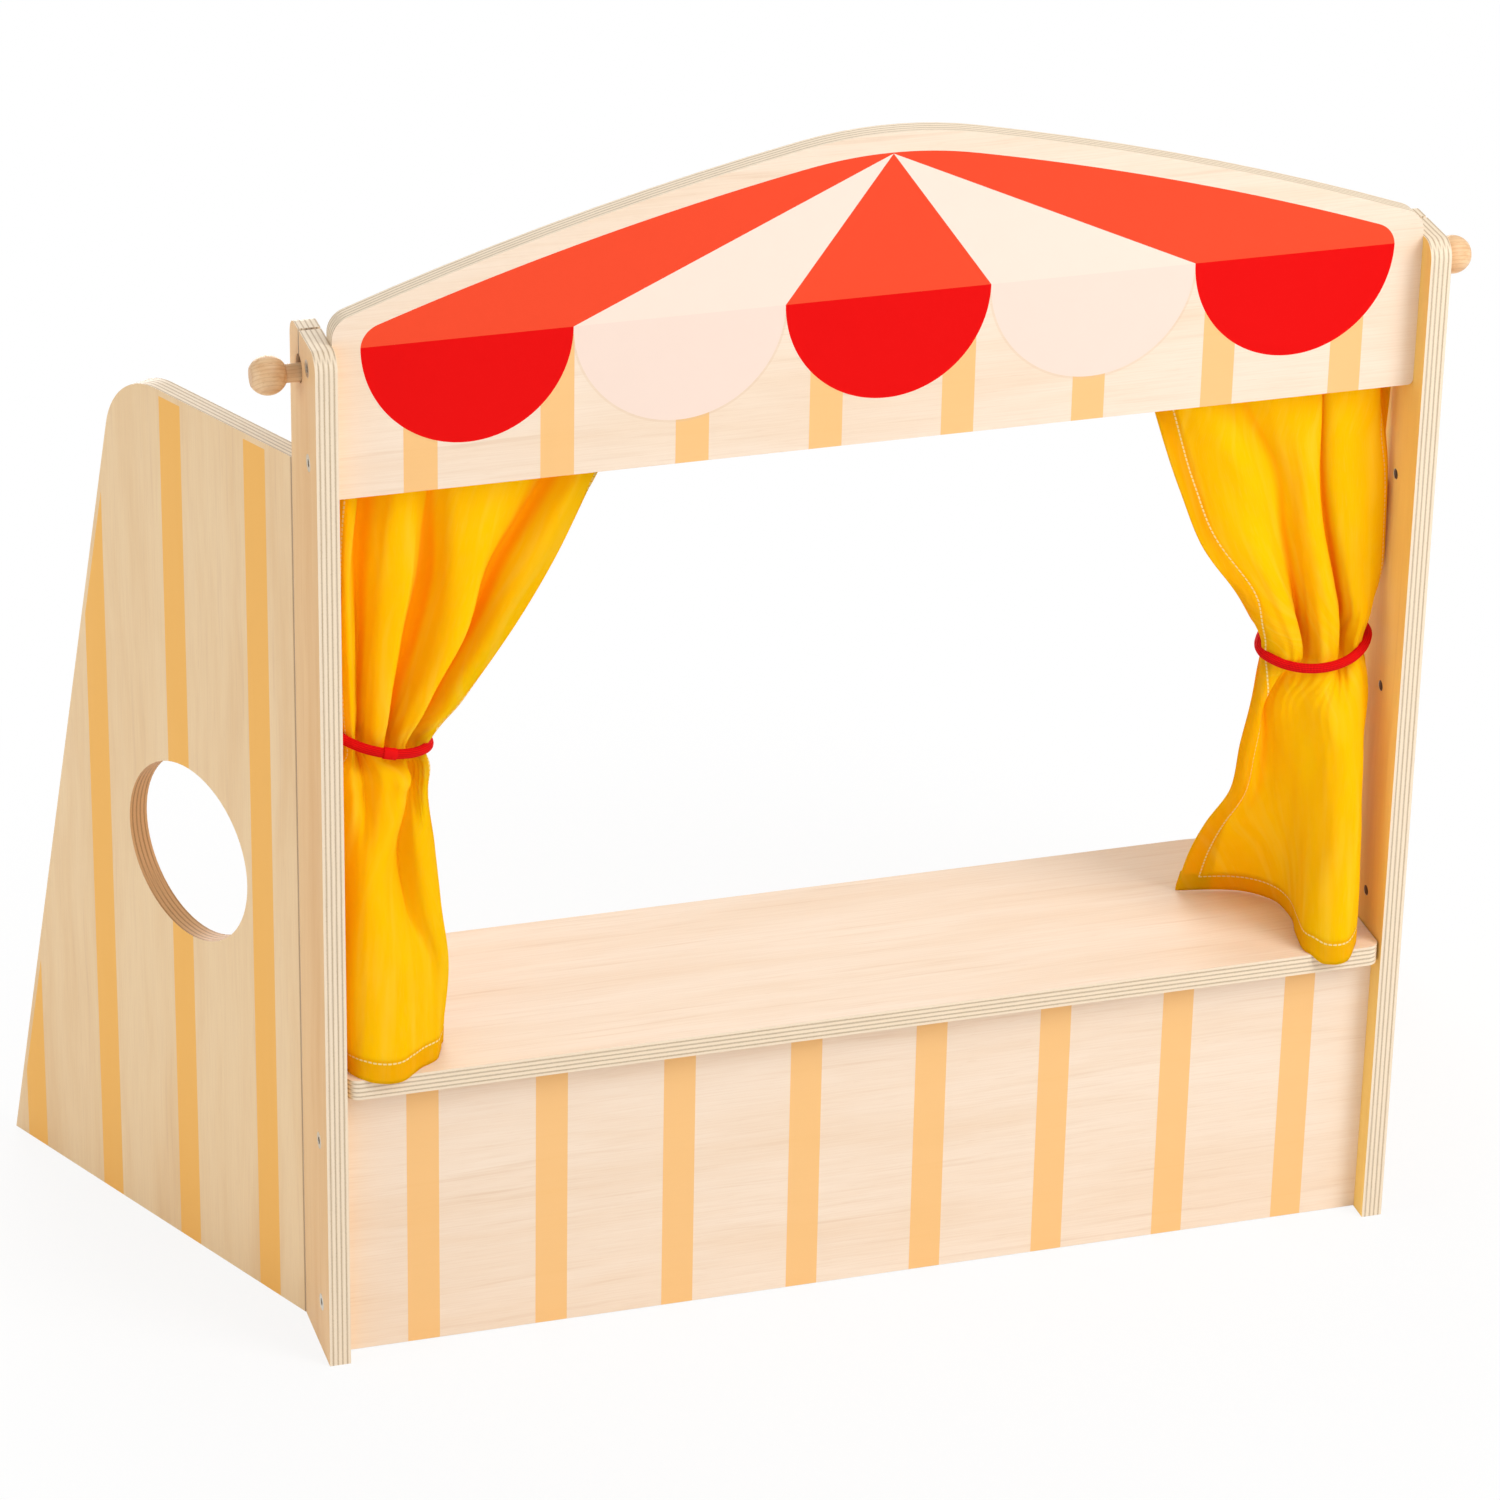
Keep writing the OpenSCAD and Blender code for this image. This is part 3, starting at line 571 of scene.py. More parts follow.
def turnedFinish(name, centreX):
    m = Finish(name)
    spot = m.place()
    x = m.dot(spot, axisX) - centreX * mm
    y = m.dot(spot, axisY) - (frontY + rodBack) * mm
    z = m.dot(spot, axisZ) - rodZ * mm
    sway = m.cloud(m.joined(x * 14, y * 40, z * 40), 1, 2) - 0.5
    ring = m.calc("SINE", (y * 0.8 + z + sway * 0.004) * 2600)
    figure = m.cloud(m.joined(x * 40, y * 260, z * 260), 1, 4, 0.6)
    fleck = m.smooth(m.cloud(m.joined(x * 260, y * 1500, z * 1500), 1, 1), 0.62, 0.76)
    ends = m.smooth(abs(m.dot(m.place("Normal"), axisX)), 0.75, 0.97)
    colour = m.mix(m.smooth(figure, 0.3, 0.75), turned["pale"], turned["warm"])
    for mask in (m.smooth(ring, 0.2, 1) * 0.22, fleck * 0.35, ends * 0.28):
        colour = m.mix(mask, colour, turned["fleck"])
    m.bump(figure - fleck * 0.5, 0.3, 0.0001)
    return m.finish(colour, 0.4 + 0.1 * figure, Specular_IOR_Level=0.45)


def metalFinish(name, tone):
    m = Finish(name)
    spot = m.place()
    fine = m.joined(m.dot(spot, (900, 0, 0)), m.dot(spot, (0, 900, 0)), m.dot(spot, (0, 0, 3000)))
    brushed = m.cloud(fine, 1, 3)
    blot = m.smooth(m.cloud(spot, 180, 3), 0.35, 0.75)
    colour = m.mix(blot * 0.35, tone, tuple(c * metal["blot"] for c in tone))
    m.bump(brushed, 0.25, 0.00005)
    return m.finish(colour, metal["rough"] + 0.16 * brushed, Metallic=1.0)


def makeRod():
    for name, (x, size) in rodParts.items():
        fit(roundedCopy(name, size), turnedFinish(name + "Wood", x), "rod", name)


def makeMetal():
    bright = metalFinish("zincPlate", metal["zinc"])
    dull = metalFinish("screwSteel", metal["screw"])
    for name in frame["nodes"]:
        if name.endswith(("_leaf", "_pin")):
            size, finish = metal["leafRound"], bright
        elif name.endswith("screws"):
            size, finish = metal["screwRound"], dull
        else:
            continue
        fit(roundedCopy(name, size), finish, frame["nodes"][name]["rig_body"], name)
    dowel = roundedCopy("shelf_dowels", metal["dowelRound"])
    fit(dowel, turnedFinish("dowelWood", 0), "frame", "shelf_dowels")


makeRod()
makeMetal()


print("curtains")

cloth = {
    "thick": 0.5, "columns": 150, "rows": 172, "hemZ": 180.6, "seamZ": 568.3,
    "hem": 13, "hemRows": 6, "layer": 0.72, "hemStack": 1.9,  # layer: from one layer's middle to the next
    "bend": 0.45, "hemBend": 0.55,  # the share of a layer at the fold lines
    "pocketZ": 583.7, "pocketR": 7.0, "pocketSide": 5.6, "pocketLow": 576, "pocketRows": 40,
    "pocketTurns": (205, 180, 150, 120, 90, 60, 30, 0, -25), "seamGap": 0.9, "tail": 7,
    "foldReach": 16, "foldDepth": 13,
    "calm": 60, "puckerReach": 34,  # how far from tie, seam and hem the unevenness changes
    "stitchIn": 11, "stitch": 2.7, "stitchShare": 0.72, "rough": 0.86,
    # the pale tone paints the cotton's sheen along the streaks, as well as the paler slubs
    "tone": srgb(255, 243, 0), "deep": srgb(255, 232, 0), "pale": srgb(255, 245, 100),
    # the orange shade tone is painted shade for the doubled hems and the hollows between folds
    "paintedShadeOrange": srgb(255, 163, 0), "through": srgb(255, 191, 0), "gap": srgb(255, 220, 64),
    "thread": srgb(255, 232, 160),
}

# Plan points of the folds at each height: distance in from the post, and back
leftWaist = [(11, 43), (8.8, 36.5), (12, 29.6), (15, 38), (17, 47), (19, 39), (21.5, 27), (27, 24),
    (29.5, 37), (31, 51), (34, 40), (35.5, 28), (37.5, 24.6), (40, 26), (41, 37), (42, 44), (43.5, 46),
    (46.5, 37), (50.3, 30.5), (52, 35.5), (48.5, 42)]
rightWaist = [(12, 44), (10.6, 37), (12.5, 29.5), (16, 24.5), (19, 22.4), (21.5, 26), (22.5, 38), (24, 52),
    (26.5, 37), (29.5, 22.5), (35, 19), (41, 20.4), (43, 36), (45.5, 53.5), (48.5, 37), (51, 22.6),
    (55, 21), (59, 23.4), (64.6, 29.2), (69, 35.5), (66.5, 43)]

leftPlans = [
    (180.6, [(6, 44), (2.6, 30), (2.2, 18), (3, 9), (6, 2), (11, -2.5), (17, -4.5), (24, -5), (31, -3.5),
        (37, -0.5), (42, 3.5), (46, 7), (49.5, 10.5), (52.5, 13.5), (55, 16.5), (57, 19.5), (59, 23),
        (60.5, 27), (61.5, 32), (61, 39), (58, 45)]),
    (240, [(6, 46), (3, 33), (3, 20), (6, 9), (10.5, 3), (15.5, 0.5), (21, 0), (27, 1), (32.5, 3.5),
        (37.5, 7.5), (42, 12), (46, 15.5), (49.5, 17), (52.5, 16.5), (54.7, 16), (56.7, 16.5), (58.6, 18.5),
        (60.5, 22), (62.5, 27), (64, 33), (61, 40)]),
    (270, [(6.5, 46.5), (3, 34), (3.6, 22), (6.5, 12), (11, 6.5), (16, 4), (21, 3.5), (26, 5), (30, 9),
        (33.5, 15), (36, 20), (38.5, 21.5), (41, 19.5), (43.5, 16.5), (46.5, 14.5), (49.5, 14.5),
        (52.5, 16), (55.5, 19.5), (58.5, 25), (60, 32), (56.5, 40)]),
    (300, [(7, 47), (3.5, 35), (4.5, 24), (8, 15), (12, 11), (16, 9), (20, 8.5), (25, 10.5), (29, 16),
        (32, 23), (34, 29), (36, 30.5), (38, 27), (40.3, 21.5), (43, 18), (46, 17), (49, 18), (52, 21),
        (54.5, 25.5), (56, 32), (52, 40)]),
    (338, [(9, 45), (5.5, 35), (10, 25.5), (15, 26), (18, 28.5), (20.5, 24.5), (24, 19), (30, 17),
        (35, 18.5), (39, 23.5), (40.5, 29), (41.7, 33), (42.7, 34.5), (43.6, 34.5), (44.4, 34), (45.2, 33),
        (46.2, 30.5), (48, 26.5), (50.8, 26), (52.5, 31), (50, 38)]),
    (353, [(9, 45), (5.8, 35), (9.5, 27), (14.5, 29), (17.5, 33), (20.5, 27.5), (24.5, 21), (30.5, 19),
        (35.5, 20.5), (39.5, 25.5), (41.3, 31.5), (42.5, 35.5), (43.5, 37.5), (44.3, 38.5), (45, 39),
        (45.8, 38.5), (46.8, 36), (49, 30), (52.3, 27.5), (53.5, 31.5), (51, 38)]),
    (361, leftWaist),
    (367, leftWaist[:17] + [(48.5, 36.5), (53.5, 29.5), (55, 34.5), (51, 41.5)]),
    (374, [(10, 43), (8, 36), (11.5, 29), (14.8, 35), (17, 44), (19, 36), (21.5, 26), (27.5, 23.2),
        (30.3, 36), (32.3, 49), (35.5, 39), (37.5, 28), (40, 24), (43, 25), (45, 34), (46.5, 42),
        (48.5, 45.5), (54, 31.5), (61, 32), (60.5, 36), (57.5, 39.5)]),
    (382, [(9, 43.5), (7.5, 36), (11, 28.5), (14.5, 33), (17, 41), (19, 34), (21.5, 25.5), (28.5, 22.5),
        (31.5, 34), (34, 46), (37.5, 37), (40, 28), (43.5, 23), (47.5, 24), (50, 32), (52, 40), (54.5, 44),
        (60.5, 30.5), (68.4, 31.5), (67.3, 35.5), (63.5, 38.5)]),
    (398, [(7, 45), (7.4, 36.5), (10.8, 28.5), (14.6, 35), (17.5, 43), (20, 35), (23, 27), (31, 24.5),
        (35, 35), (38.5, 46), (43.5, 38), (47.5, 28.5), (52, 24), (56, 25.5), (58.5, 33), (60.5, 41),
        (63.5, 46), (70.5, 30.5), (79.8, 31), (78.3, 35), (73.5, 38)]),
    (430, [(5.5, 46), (7, 37.5), (10, 29), (14, 34), (18, 42.5), (22.5, 35), (27, 28.5), (37, 26), (42, 35),
        (47.5, 43), (54.5, 37), (60.5, 28.5), (67, 24.5), (73, 26), (76, 33), (78.5, 41), (82, 46),
        (90.5, 31), (101.8, 31.5), (100, 35.5), (94, 39)]),
    (464, [(6, 42), (8, 31.5), (10.4, 29.2), (13.2, 34.5), (18.6, 42), (26, 35), (31, 29.5), (43, 28),
        (49, 35), (55, 42), (61, 36.5), (66, 29.5), (74, 27), (82, 28), (86.5, 34), (90.5, 40.5), (96, 45),
        (109, 31.5), (122.8, 33), (120.5, 37), (113.5, 40)]),
    (488, [(5.5, 40), (8.5, 30), (12.8, 29), (14.3, 35.5), (19.7, 42.5), (29.5, 35), (34.5, 30.5),
        (45, 29.5), (51, 35.5), (56.2, 41.3), (61.5, 36.3), (67, 29.8), (77, 28), (87.5, 29), (95.5, 34),
        (103.5, 40.5), (111, 44.3), (122.5, 31.5), (136.2, 34), (134, 38), (127, 41)]),
    (512, [(5, 38), (8, 29.5), (15.3, 29), (16.3, 36), (22.5, 43), (33, 35), (38, 31), (47, 30.5),
        (53, 35.5), (57.5, 40.5), (62, 36), (68, 30.5), (80, 29), (93, 30), (104, 34), (116, 40.5),
        (125, 43.5), (136.5, 32), (148.8, 34.5), (146.5, 38.5), (139, 41.5)]),
    (568.3, [(5, 38), (9, 30.5), (17.5, 30), (20, 37), (28, 44), (35, 38), (42, 31), (50, 32), (56, 39),
        (61, 44), (67, 38), (74, 31), (88, 30), (103, 31.5), (114, 37), (126, 43), (136, 45), (154, 33),
        (172.7, 35), (170.5, 39), (162, 42)]),
]

rightPlans = [
    (180.6, [(8, 32), (7, 25), (8.5, 18), (11, 11), (14.5, 4), (19.5, -3), (26.5, -7.5), (34, -6.5),
        (40.5, -2), (44, 5), (44.5, 14), (42, 25), (39, 37), (37.5, 49), (39, 60), (43.5, 69), (51, 76.5),
        (61, 82), (72, 85.5), (82, 88), (91, 90)]),
    (215, [(8.5, 36), (7.5, 28), (8.5, 19.5), (11, 11), (14.5, 4), (19.5, -1.5), (26, -4.5), (32.5, -3.5),
        (38.5, 1.5), (41.8, 9), (42.2, 17.5), (41.5, 27), (41, 37), (41.5, 47), (44, 56), (49, 63.5),
        (56, 68.5), (64, 71), (73, 72), (81, 73), (89.3, 74)]),
    (240, [(9, 40), (8, 31), (9, 22), (11.5, 13), (15, 6), (20, 1), (26, -1), (31.5, 0.5), (36, 5.5),
        (39.3, 13), (41, 21), (42, 29), (43.5, 37), (46.2, 45), (50, 51.5), (55, 56), (61, 58.5), (68, 59),
        (75, 58.5), (81, 58), (87, 59)]),
    (270, [(9, 43), (8.5, 34), (10, 25), (12.5, 16), (16, 8.5), (20.5, 3.5), (26, 1.5), (31.5, 2),
        (36.5, 6), (40, 12), (42.5, 19), (44.5, 26), (47, 32.5), (50.5, 39), (54.5, 44), (59, 47),
        (63.5, 46.5), (68, 43.5), (72.5, 40.5), (76.5, 39.5), (80, 42)]),
    (300, [(9, 46), (8, 37), (9, 28), (12, 18.5), (16, 11.5), (21, 7.5), (26.5, 5.5), (32, 5), (37, 8),
        (40.5, 13), (44, 19), (47.5, 25), (51, 31), (55, 36.5), (58.5, 40.5), (62, 42.5), (65, 40),
        (68, 35), (71, 32.5), (74.5, 33), (77.5, 37)]),
    (330, [(9, 48), (6.5, 39), (7.5, 29), (11, 21), (17, 15), (23, 12), (29, 10.5), (35, 10.5), (40, 12.5),
        (44, 16.5), (47.5, 21), (51, 25), (54.5, 28.5), (58, 32), (61, 36), (63.3, 39), (65.3, 35.5),
        (67.5, 30), (70, 27.5), (72.5, 29), (74, 34)]),
    (345, [(10.5, 46), (8, 38), (9.5, 29), (13, 22), (18, 17.5), (22.5, 16.5), (26, 20), (28.5, 24),
        (31.5, 20), (35.5, 15.5), (40, 15), (44.5, 18.5), (48.5, 25), (52, 32), (55, 35), (57.5, 34),
        (60, 29.5), (62.8, 26), (67, 27), (70.5, 31), (70.5, 38)]),
    (356, rightWaist),
    (361, rightWaist),
    (378, [(9, 44), (7, 37), (8.5, 29), (12, 23.5), (16.5, 21), (20, 23), (22.5, 30), (24.5, 43),
        (27.5, 31), (31, 22), (37, 18.5), (43, 22), (45.5, 34), (48, 43), (51, 36), (54.5, 25), (60, 20.5),
        (66, 23), (72, 27.5), (76, 32), (76.5, 38)]),
    (395, [(5.8, 41), (3.2, 33.5), (5.5, 29), (10.5, 25), (16, 23.5), (22, 24), (26, 29), (28, 41),
        (31, 31), (35, 23.5), (40.5, 21.5), (45.5, 26), (48.5, 34), (52, 40), (56, 35), (61, 26.5),
        (67, 23), (73, 25.5), (79.5, 29), (84, 30.5), (86.5, 33)]),
    (430, [(2.6, 38.5), (2, 32), (4.8, 28.8), (9.5, 27), (18, 25.5), (27, 25.5), (33, 29), (35.5, 38.5),
        (38.5, 31), (43, 26.5), (48, 25), (52.5, 28.5), (56, 34.5), (60.5, 38), (66, 34.5), (73, 27.5),
        (82, 25.5), (92, 29), (101, 33.5), (107.5, 33.5), (111, 31)]),
    (464, [(2.4, 39), (2.2, 32.5), (5.6, 29.8), (11, 28.3), (19, 27.5), (30, 27.5), (37.5, 30),
        (40.5, 37.5), (43, 31.5), (48, 28), (53.5, 27.5), (58, 30.5), (62, 34.5), (67, 37), (73, 34.5),
        (80, 29.5), (89, 27.5), (101, 31), (111, 35), (119, 34.5), (124.5, 32)]),
    (512, [(1.6, 40), (6.5, 43.5), (9.5, 35), (13.5, 30.5), (21, 29.5), (31, 29), (39.5, 31), (42.5, 37.5),
        (45, 32), (52, 29), (64, 28.5), (75, 30.5), (83, 34), (89, 36.5), (95, 34.5), (102, 30.5),
        (110, 29.5), (119, 32), (127, 35), (134, 34.5), (140, 32)]),
    (568.3, [(1.8, 43), (5.5, 41), (9, 34), (15, 31), (24, 30), (33, 31), (40, 35), (44, 43), (49, 37),
        (57, 31), (70, 30.5), (83, 32), (92, 38), (100, 42), (107, 38), (115, 32), (124, 31), (134, 34),
        (144, 38), (154, 36), (160, 33)]),
]

curtains = {
    "left": {"side": -1, "seed": 11, "flat": (0.2, 0.45), "drop": 1.6, "tieZ": 368, "levels": leftPlans},
    "right": {"side": 1, "seed": 5, "flat": (0.2, 0.45), "drop": 4.2, "tieZ": 360, "levels": rightPlans},
}


def throughPoints(knots, values, at):  # a smooth line through values, over uneven steps
    knots, values, at = np.asarray(knots, float), np.asarray(values, float), np.asarray(at, float)
    slope = np.gradient(values, knots, axis=0)
    k = np.clip(np.searchsorted(knots, at, side="right") - 1, 0, len(knots) - 2)
    gap = knots[k + 1] - knots[k]
    t = (at - knots[k]) / gap
    t, gap = (w.reshape(-1, *[1] * (values.ndim - 1)) for w in (t, gap))
    return ((2 * t ** 3 - 3 * t ** 2 + 1) * values[k] + (t ** 3 - 2 * t ** 2 + t) * gap * slope[k]
            + (3 * t ** 2 - 2 * t ** 3) * values[k + 1] + (t ** 3 - t ** 2) * gap * slope[k + 1])


def wander(rng, a, b, count, low, high):  # a sum of seeded waves over two coordinates
    total = np.zeros(np.broadcast(a, b).shape)
    for _ in range(count):
        fa, fb = rng.uniform(*low) * rng.choice((-1, 1)), rng.uniform(*high) * rng.choice((-1, 1))
        total = total + np.sin(a * fa + b * fb + rng.uniform(0, 6.28))
    return total / math.sqrt(count)


def lengths(points, axis):  # how far along its line each point of a grid lies
    steps = np.cumsum(np.linalg.norm(np.diff(points, axis=axis), axis=2), axis)
    return np.concatenate([np.zeros_like(steps.take([0], axis)), steps], axis)


def eased(share):
    return share * share * (3 - 2 * share)


def clothGrid(s):
    rng = np.random.default_rng(s["seed"])
    heights = [z for z, _ in s["levels"]]
    plans = np.array([line for _, line in s["levels"]], float)
    # every plan is cut into the same shares of its length
    stations = np.arange(plans.shape[1])
    fine = np.linspace(0, stations[-1], 900)
    run = lengths(np.stack([throughPoints(stations, line, fine) for line in plans]), 1)
    share = (run / run[:, -1:]).mean(0)
    pick = np.interp(np.linspace(0, 1, cloth["columns"] + 1), share, fine)
    lines = np.stack([throughPoints(stations, line, pick) for line in plans])
    z = np.linspace(cloth["hemZ"], cloth["seamZ"], cloth["rows"] + 1)
    main = throughPoints(heights, lines, z)
    rows, columns = main.shape[:2]
    # soft unevenness everywhere, and fine puckers that run up and down from the tie
    u, v = np.linspace(0, 1, columns)[None, :], z[:, None] / 100
    away, under = np.abs(z - s["tieZ"])[:, None], (cloth["seamZ"] - z)[:, None]
    free = np.clip(away / cloth["calm"], 0, 1) * np.clip(under / cloth["calm"], 0.2, 1)
    soft = wander(rng, u, v, 7, (6, 26), (1, 5)) * 0.9 * free
    pucker = wander(rng, u, v, 8, (60, 150), (0.5, 3)) * 0.42 * np.exp(-(away / cloth["puckerReach"]) ** 2)
    drape = wander(rng, u, v, 9, (18, 60), (3, 9)) * 0.28 * free
    push = soft + pucker + drape
    ahead = np.gradient(main, axis=1)
    ahead /= np.linalg.norm(ahead, axis=2, keepdims=True) + 1e-9
    main = main + np.stack([-ahead[..., 1], ahead[..., 0]], 2) * push[..., None]
    grid = np.concatenate([main, np.broadcast_to(z[:, None, None], (rows, columns, 1))], 2)
    # the hem gives a little where it hangs past the shelf's front
    low = np.clip(1 - (z - cloth["hemZ"]) / cloth["calm"], 0, 1)[:, None] ** 2
    grid[..., 2] -= s["drop"] * low * eased(np.clip((1 - grid[..., 1]) / 7, 0, 1))
    return np.concatenate([grid, pocket(grid[-1], rng)], 0)


def pocket(top, rng):  # goes up the front of the rod, over it and down to the seam again
    back = top[:, 1]
    off, level = back - rodBack, np.zeros(len(top))
    low, side = cloth["pocketLow"] + level, cloth["pocketSide"]
    ripple = wander(rng, np.linspace(0, 1, len(top)), 0, 5, (60, 120), (1, 1)) * 0.35
    wide = cloth["pocketR"] + ripple
    knots = [(back, cloth["seamZ"] + level), (rodBack - side - 0.5 * np.maximum(0, -off), low)]
    for turn in cloth["pocketTurns"]:
        a = math.radians(turn)
        reach = wide + 0.5 * np.maximum(0, off * math.cos(a))
        knots.append((rodBack + reach * math.cos(a), cloth["pocketZ"] + wide * math.sin(a)))
    knots.append((rodBack + side + 0.5 * np.maximum(0, off), low))
    knots.append((back + cloth["seamGap"], cloth["seamZ"] + level))
    knots.append((back + cloth["seamGap"], cloth["seamZ"] - cloth["tail"] + level))
    knots = np.array([np.stack(pair, 1) for pair in knots])
    place = lengths(knots, 0).mean(1)
    loop = throughPoints(place, knots, np.linspace(0, place[-1], cloth["pocketRows"] + 1)[1:])
    along = np.broadcast_to(top[:, 0], loop.shape[:2])
    return np.stack([along, loop[..., 0], loop[..., 1]], 2)


def backs(grid):  # the direction of the cloth's back at each point
    ahead = np.gradient(grid, axis=1)
    normal = np.cross(np.gradient(grid, axis=0), ahead)
    normal /= np.linalg.norm(normal, axis=2, keepdims=True) + 1e-12
    spot = 5, grid.shape[1] // 2
    return normal if normal[spot][1] * ahead[spot][0] > 0 else -normal


def hemmed(grid, maps, step):  # the cloth with its side hems and its bottom hem folded to the back
    turn, last = max(3, round(cloth["hem"] / step)), cloth["columns"]
    order = [*range(turn, -1, -1), *range(last + 1), *range(last, last - turn - 1, -1)]
    folded = np.ones(turn)
    aside = np.concatenate([folded, [cloth["bend"]], np.zeros(last + 1), [cloth["bend"]], folded])
    back, maps = backs(grid)[:, order], maps[:, order]
    wide = grid[:, order] + back * (cloth["layer"] * aside)[None, :, None]
    # the bottom hem goes behind both
    inHem = np.clip(1 - (np.minimum(maps[0, :, 0], maps[0, :, 2]) - cloth["hem"]) / 4, 0, 1)
    depth = cloth["layer"] * (1 + cloth["hemStack"] * eased(inHem) - (aside > 0))
    rows = list(range(cloth["hemRows"], -1, -1))
    away = np.array([1.0] * cloth["hemRows"] + [cloth["hemBend"]])
    bottom = wide[rows] + back[rows] * (depth[None, :] * away[:, None])[..., None]
    return np.concatenate([bottom, wide], 0), np.concatenate([maps[rows], maps], 0)


def foldDepths(wide, step):  # how deep each point lies behind the folds beside it, from 0 to 1; it sets the painted shade between folds
    reach, columns = round(cloth["foldReach"] / step), wide.shape[1]
    ahead = np.pad(wide[..., 1], ((0, 0), (reach, reach)), mode="edge")
    shifts = np.array([ahead[:, k:k + columns] for k in range(2 * reach + 1)])
    ahead = np.maximum(shifts[:reach + 1].min(0), shifts[reach:].min(0))
    below = np.clip((cloth["pocketLow"] - wide[..., 2]) / 6, 0, 1)
    return np.clip((wide[..., 1] - ahead) / cloth["foldDepth"], 0, 1) * below


def clothPiece(name, s):
    grid = clothGrid(s)
    across, up = lengths(grid, 1), lengths(grid, 0)
    print(name, "cloth", round(float(across[:, -1].mean())), "mm wide, from",
          round(float(across[:, -1].min())), "to", round(float(across[:, -1].max())),
          "and", round(float(up[-1].mean())), "long")
    up = np.repeat(up.mean(1, keepdims=True), grid.shape[1], 1)
    step = across[:, -1].mean() / cloth["columns"]
    wide, maps = hemmed(grid, np.stack([across, up, across[:, -1:] - across, up], 2), step)
    fold = foldDepths(wide, step)
    place = np.stack([s["side"] * (innerX - wide[..., 0]), frontY + wide[..., 1], wide[..., 2]], 2) * mm

    rows, columns = wide.shape[:2]
    shape = bmesh.new()
    bmesh.ops.create_grid(shape, x_segments=columns - 1, y_segments=rows - 1, size=0.5)
    cut, rim, deep = (shape.loops.layers.uv.new(layer) for layer in ("cut", "rim", "fold"))
    spots = {}
    for vertex in shape.verts:
        spot = (round((vertex.co.y + 0.5) * (rows - 1)), round((vertex.co.x + 0.5) * (columns - 1)))
        spots[vertex.index] = spot
        vertex.co = place[spot]
    for face in shape.faces:
        face.smooth = True
        for loop in face.loops:
            spot = spots[loop.vert.index]
            values = maps[spot] * mm
            loop[cut].uv, loop[rim].uv, loop[deep].uv = values[:2], values[2:], (fold[spot], 0)
    if s["side"] > 0:
        bmesh.ops.reverse_faces(shape, faces=shape.faces)
    piece = solid(name, shape)
    wall = piece.modifiers.new("wall", "SOLIDIFY")
    wall.thickness, wall.offset = cloth["thick"] * mm, 0
    return piece


def clothFinish(name):
    m = Finish(name)
    cut, rim, deep = (m.node("ShaderNodeUVMap", {"uv_map": layer}) for layer in ("cut", "rim", "fold"))
    u, v = m.dot(cut, (1000, 0, 0)), m.dot(cut, (0, 1000, 0))
    edge = m.calc("MINIMUM", u, m.dot(rim, (1000, 0, 0)))
    low = m.calc("MINIMUM", edge, v)
    # broad tone, pale streaks along the warp that are painted sheen, slubs, and the weave itself
    tone = m.cloud(m.joined(u * 0.03, v * 0.012, 0), 1, 3)
    streak = m.cloud(m.joined(u * 0.15, v * 0.012, 4), 1, 1.6, 0.5)
    slub = m.cloud(m.joined(u * 2.4, v * 0.09, 1), 1, 2, 0.6)
    cross = m.cloud(m.joined(u * 0.1, v * 2.2, 2), 1, 2, 0.6)
    weave = m.calc("SINE", u * 7.4 + slub * 3) * m.calc("SINE", v * 7.1 + cross * 3)
    colour = m.mix(m.smooth(tone, 0.3, 0.75), cloth["deep"], cloth["tone"])
    colour = m.mix(m.smooth(streak, 0.45, 0.8) * 0.35, colour, cloth["pale"])
    colour = m.mix(m.smooth(slub, 0.45, 0.8) * 0.3, colour, cloth["pale"])
    colour = m.mix(m.smooth(cross, 0.5, 0.8) * 0.2, colour, cloth["deep"])
    colour = m.mix(m.smooth(weave, -0.2, 1) * 0.14, colour, cloth["deep"])
    # painted shade: the doubled hems and the hollows between folds are mixed toward a darker orange
    doubled = low < cloth["hem"]
    colour = m.mix(doubled * 0.16, colour, cloth["paintedShadeOrange"])
    colour = m.mix(m.smooth(m.dot(deep, axisX), 0.1, 0.9) * 0.8, colour, cloth["paintedShadeOrange"])
    # pale stitches run along every edge, in a shallow pull of the cloth
    alongEdge = m.calc("LESS_THAN", v, edge)
    travel = (u * alongEdge + v * (1 - alongEdge)) / cloth["stitch"]
    dash = m.calc("FRACT", travel) < cloth["stitchShare"]
    off = abs(low - cloth["stitchIn"])
    thread = (1 - m.smooth(off, 0.3, 0.62)) * dash
    colour = m.mix(thread * 0.92, colour, cloth["thread"])
    pull = 1 - m.smooth(off, 0, 2.2)
    pucker = m.cloud(m.joined(travel * 0.9, low * 0.05, 3), 1, 1)
    m.bump(weave * 0.32 + slub * 0.6 + cross * 0.5 + thread * 1.6 - pull * (0.6 + pucker), 0.34, 0.00022)
    material = m.finish(colour, cloth["rough"], Specular_IOR_Level=0.06)
    # the light let through turns paler in the weave's gaps, and along the streaks it is painted sheen
    gap = m.smooth(weave, -0.6, 1) * 0.3 + m.smooth(streak, 0.45, 0.75) * 0.25
    lit = m.node("ShaderNodeBsdfTranslucent", None, {"Color": m.mix(gap, cloth["through"], cloth["gap"])})
    m.blend(0.5 + doubled * 0.04 - thread * 0.42, lit)
    return material


def makeCurtains():
    finish = clothFinish("yellowCotton")
    for side, s in curtains.items():
        piece = clothPiece(side + "_curtain_cloth", s)
        fit(piece, finish, side + "_curtain", side + "_curtain")


makeCurtains()


print("ties")

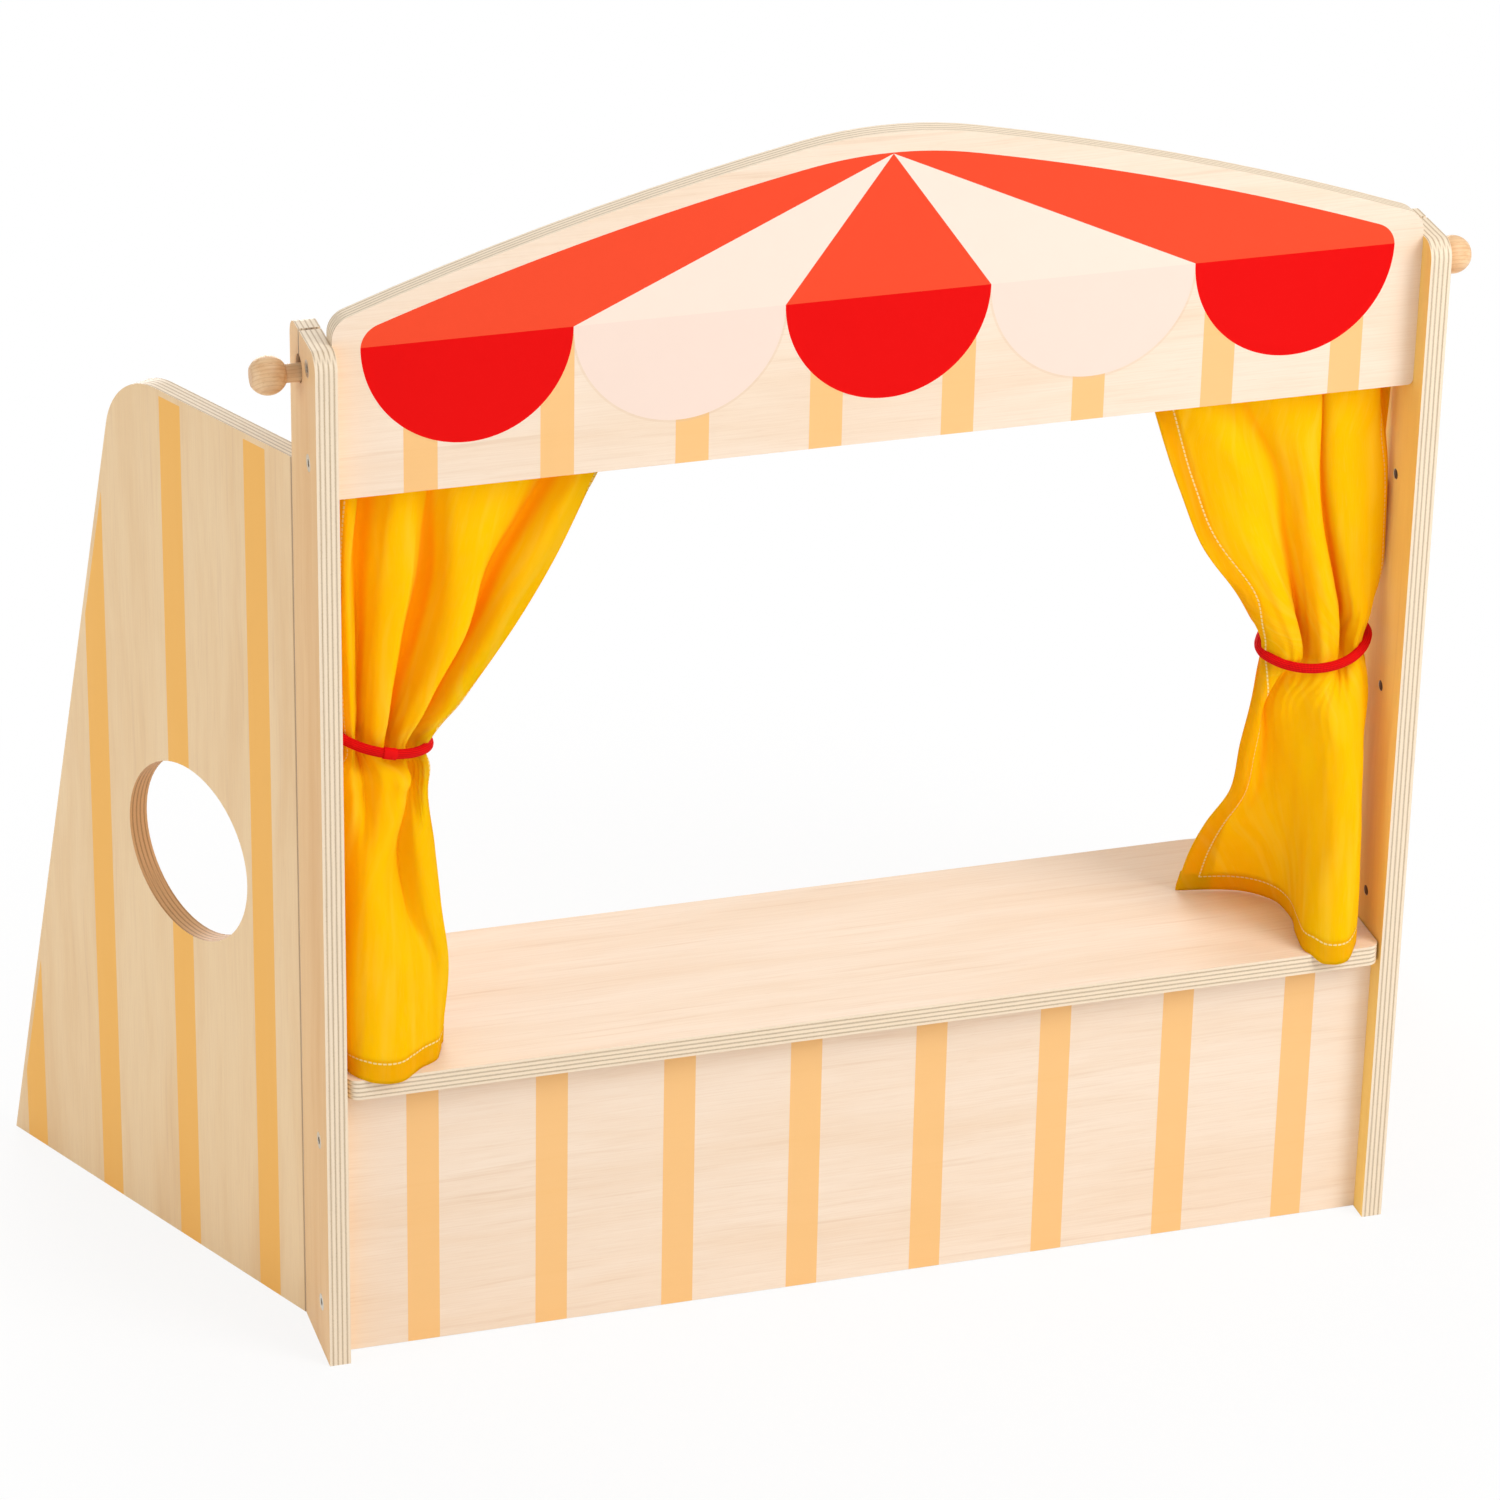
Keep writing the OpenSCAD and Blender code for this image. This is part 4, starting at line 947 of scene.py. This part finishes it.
ties = {  # waist: where the cloth starts, how wide it is there, and the height
    "left": {"side": -1, "w": 57, "d": 42, "lean": 13, "nod": 5, "waist": (8, 44.3, 368)},
    "right": {"side": 1, "w": 68, "d": 54, "lean": 5, "nod": 15, "waist": (10, 56.2, 360)},
}

cord = {
    "dia": 5.5, "endR": 13, "step": 0.8, "sides": 8, "sleeveRound": 0.15,
    "deep": srgb(204, 2, 6), "bright": srgb(255, 14, 16), "rough": 0.75,
}


def tiePath(s):  # an oval of four arcs round the cloth
    halfW, halfD, r = (s["w"] - cord["dia"]) / 2, (s["d"] - cord["dia"]) / 2, cord["endR"]
    sideR = (halfW * halfW + halfD * halfD - 2 * halfW * r) / (2 * (halfD - r))
    turn = math.atan2(sideR - halfD, halfW - r)
    arcs = (
        (halfW - r, 0, r, -turn, turn),
        (0, halfD - sideR, sideR, turn, math.pi - turn),
        (r - halfW, 0, r, math.pi - turn, math.pi + turn),
        (0, sideR - halfD, sideR, math.pi + turn, 2 * math.pi - turn),
    )
    path = []
    for x, y, radius, a, b in arcs:
        count = max(8, int(abs(b - a) * radius / cord["step"]))
        for k in range(count):
            angle = a + (b - a) * k / count
            path.append(Vector((x + radius * math.cos(angle), y + radius * math.sin(angle), 0)))
    return path


def placeTie(s, point):
    nod, lean = math.radians(s["nod"]), math.radians(-s["lean"])
    spun = Matrix.Rotation(lean, 3, "Y") @ (Matrix.Rotation(nod, 3, "X") @ point)
    start, width, height = s["waist"]
    x = s["side"] * (spun.x + innerX - start - width / 2)
    return Vector((x, spun.y + frontY + rodBack, spun.z + height)) * mm


def makeTie(name, s):
    path = tiePath(s)
    data = bpy.data.curves.new(name, "CURVE")
    data.dimensions = "3D"
    line = data.splines.new("POLY")
    line.points.add(len(path) - 1)
    for point, place in zip(line.points, path):
        point.co = (*placeTie(s, place), 1)
    line.use_cyclic_u = True
    data.bevel_depth = cord["dia"] / 2 * mm
    data.bevel_resolution = cord["sides"]
    thing = added(name, data)
    bpy.context.view_layer.update()
    mesh = bpy.data.meshes.new_from_object(thing.evaluated_get(bpy.context.evaluated_depsgraph_get()))
    bpy.data.objects.remove(thing)
    mesh.name = name
    for face in mesh.polygons:
        face.use_smooth = True
    return added(name, mesh)


def tieFinish(name):
    m = Finish(name)
    spot = m.place("UV")
    u, v = m.dot(spot, axisX), m.dot(spot, axisY)
    braid = m.calc("SINE", u * 700 + v * 50) * m.calc("SINE", u * 700 - v * 50)
    fuzz = m.cloud(m.place(), 2200, 2)
    # painted highlight and shade: the braid's raised strands are coloured brighter and its grooves darker
    colour = m.mix(m.smooth(braid, -0.8, 0.9), cord["deep"], cord["bright"])
    m.bump(braid + fuzz, 0.7, 0.0003)
    return m.finish(colour, cord["rough"], Specular_IOR_Level=0.12)


def makeTies():
    finish = tieFinish("redElastic")
    for side, s in ties.items():
        body = side + "_curtain"
        fit(makeTie(side + "_tie_cord", s), finish, body, side + "_tie")
        sleeve = roundedCopy(side + "_tie_sleeve", cord["sleeveRound"])
        fit(sleeve, finish, body, side + "_tie_sleeve")


makeTies()
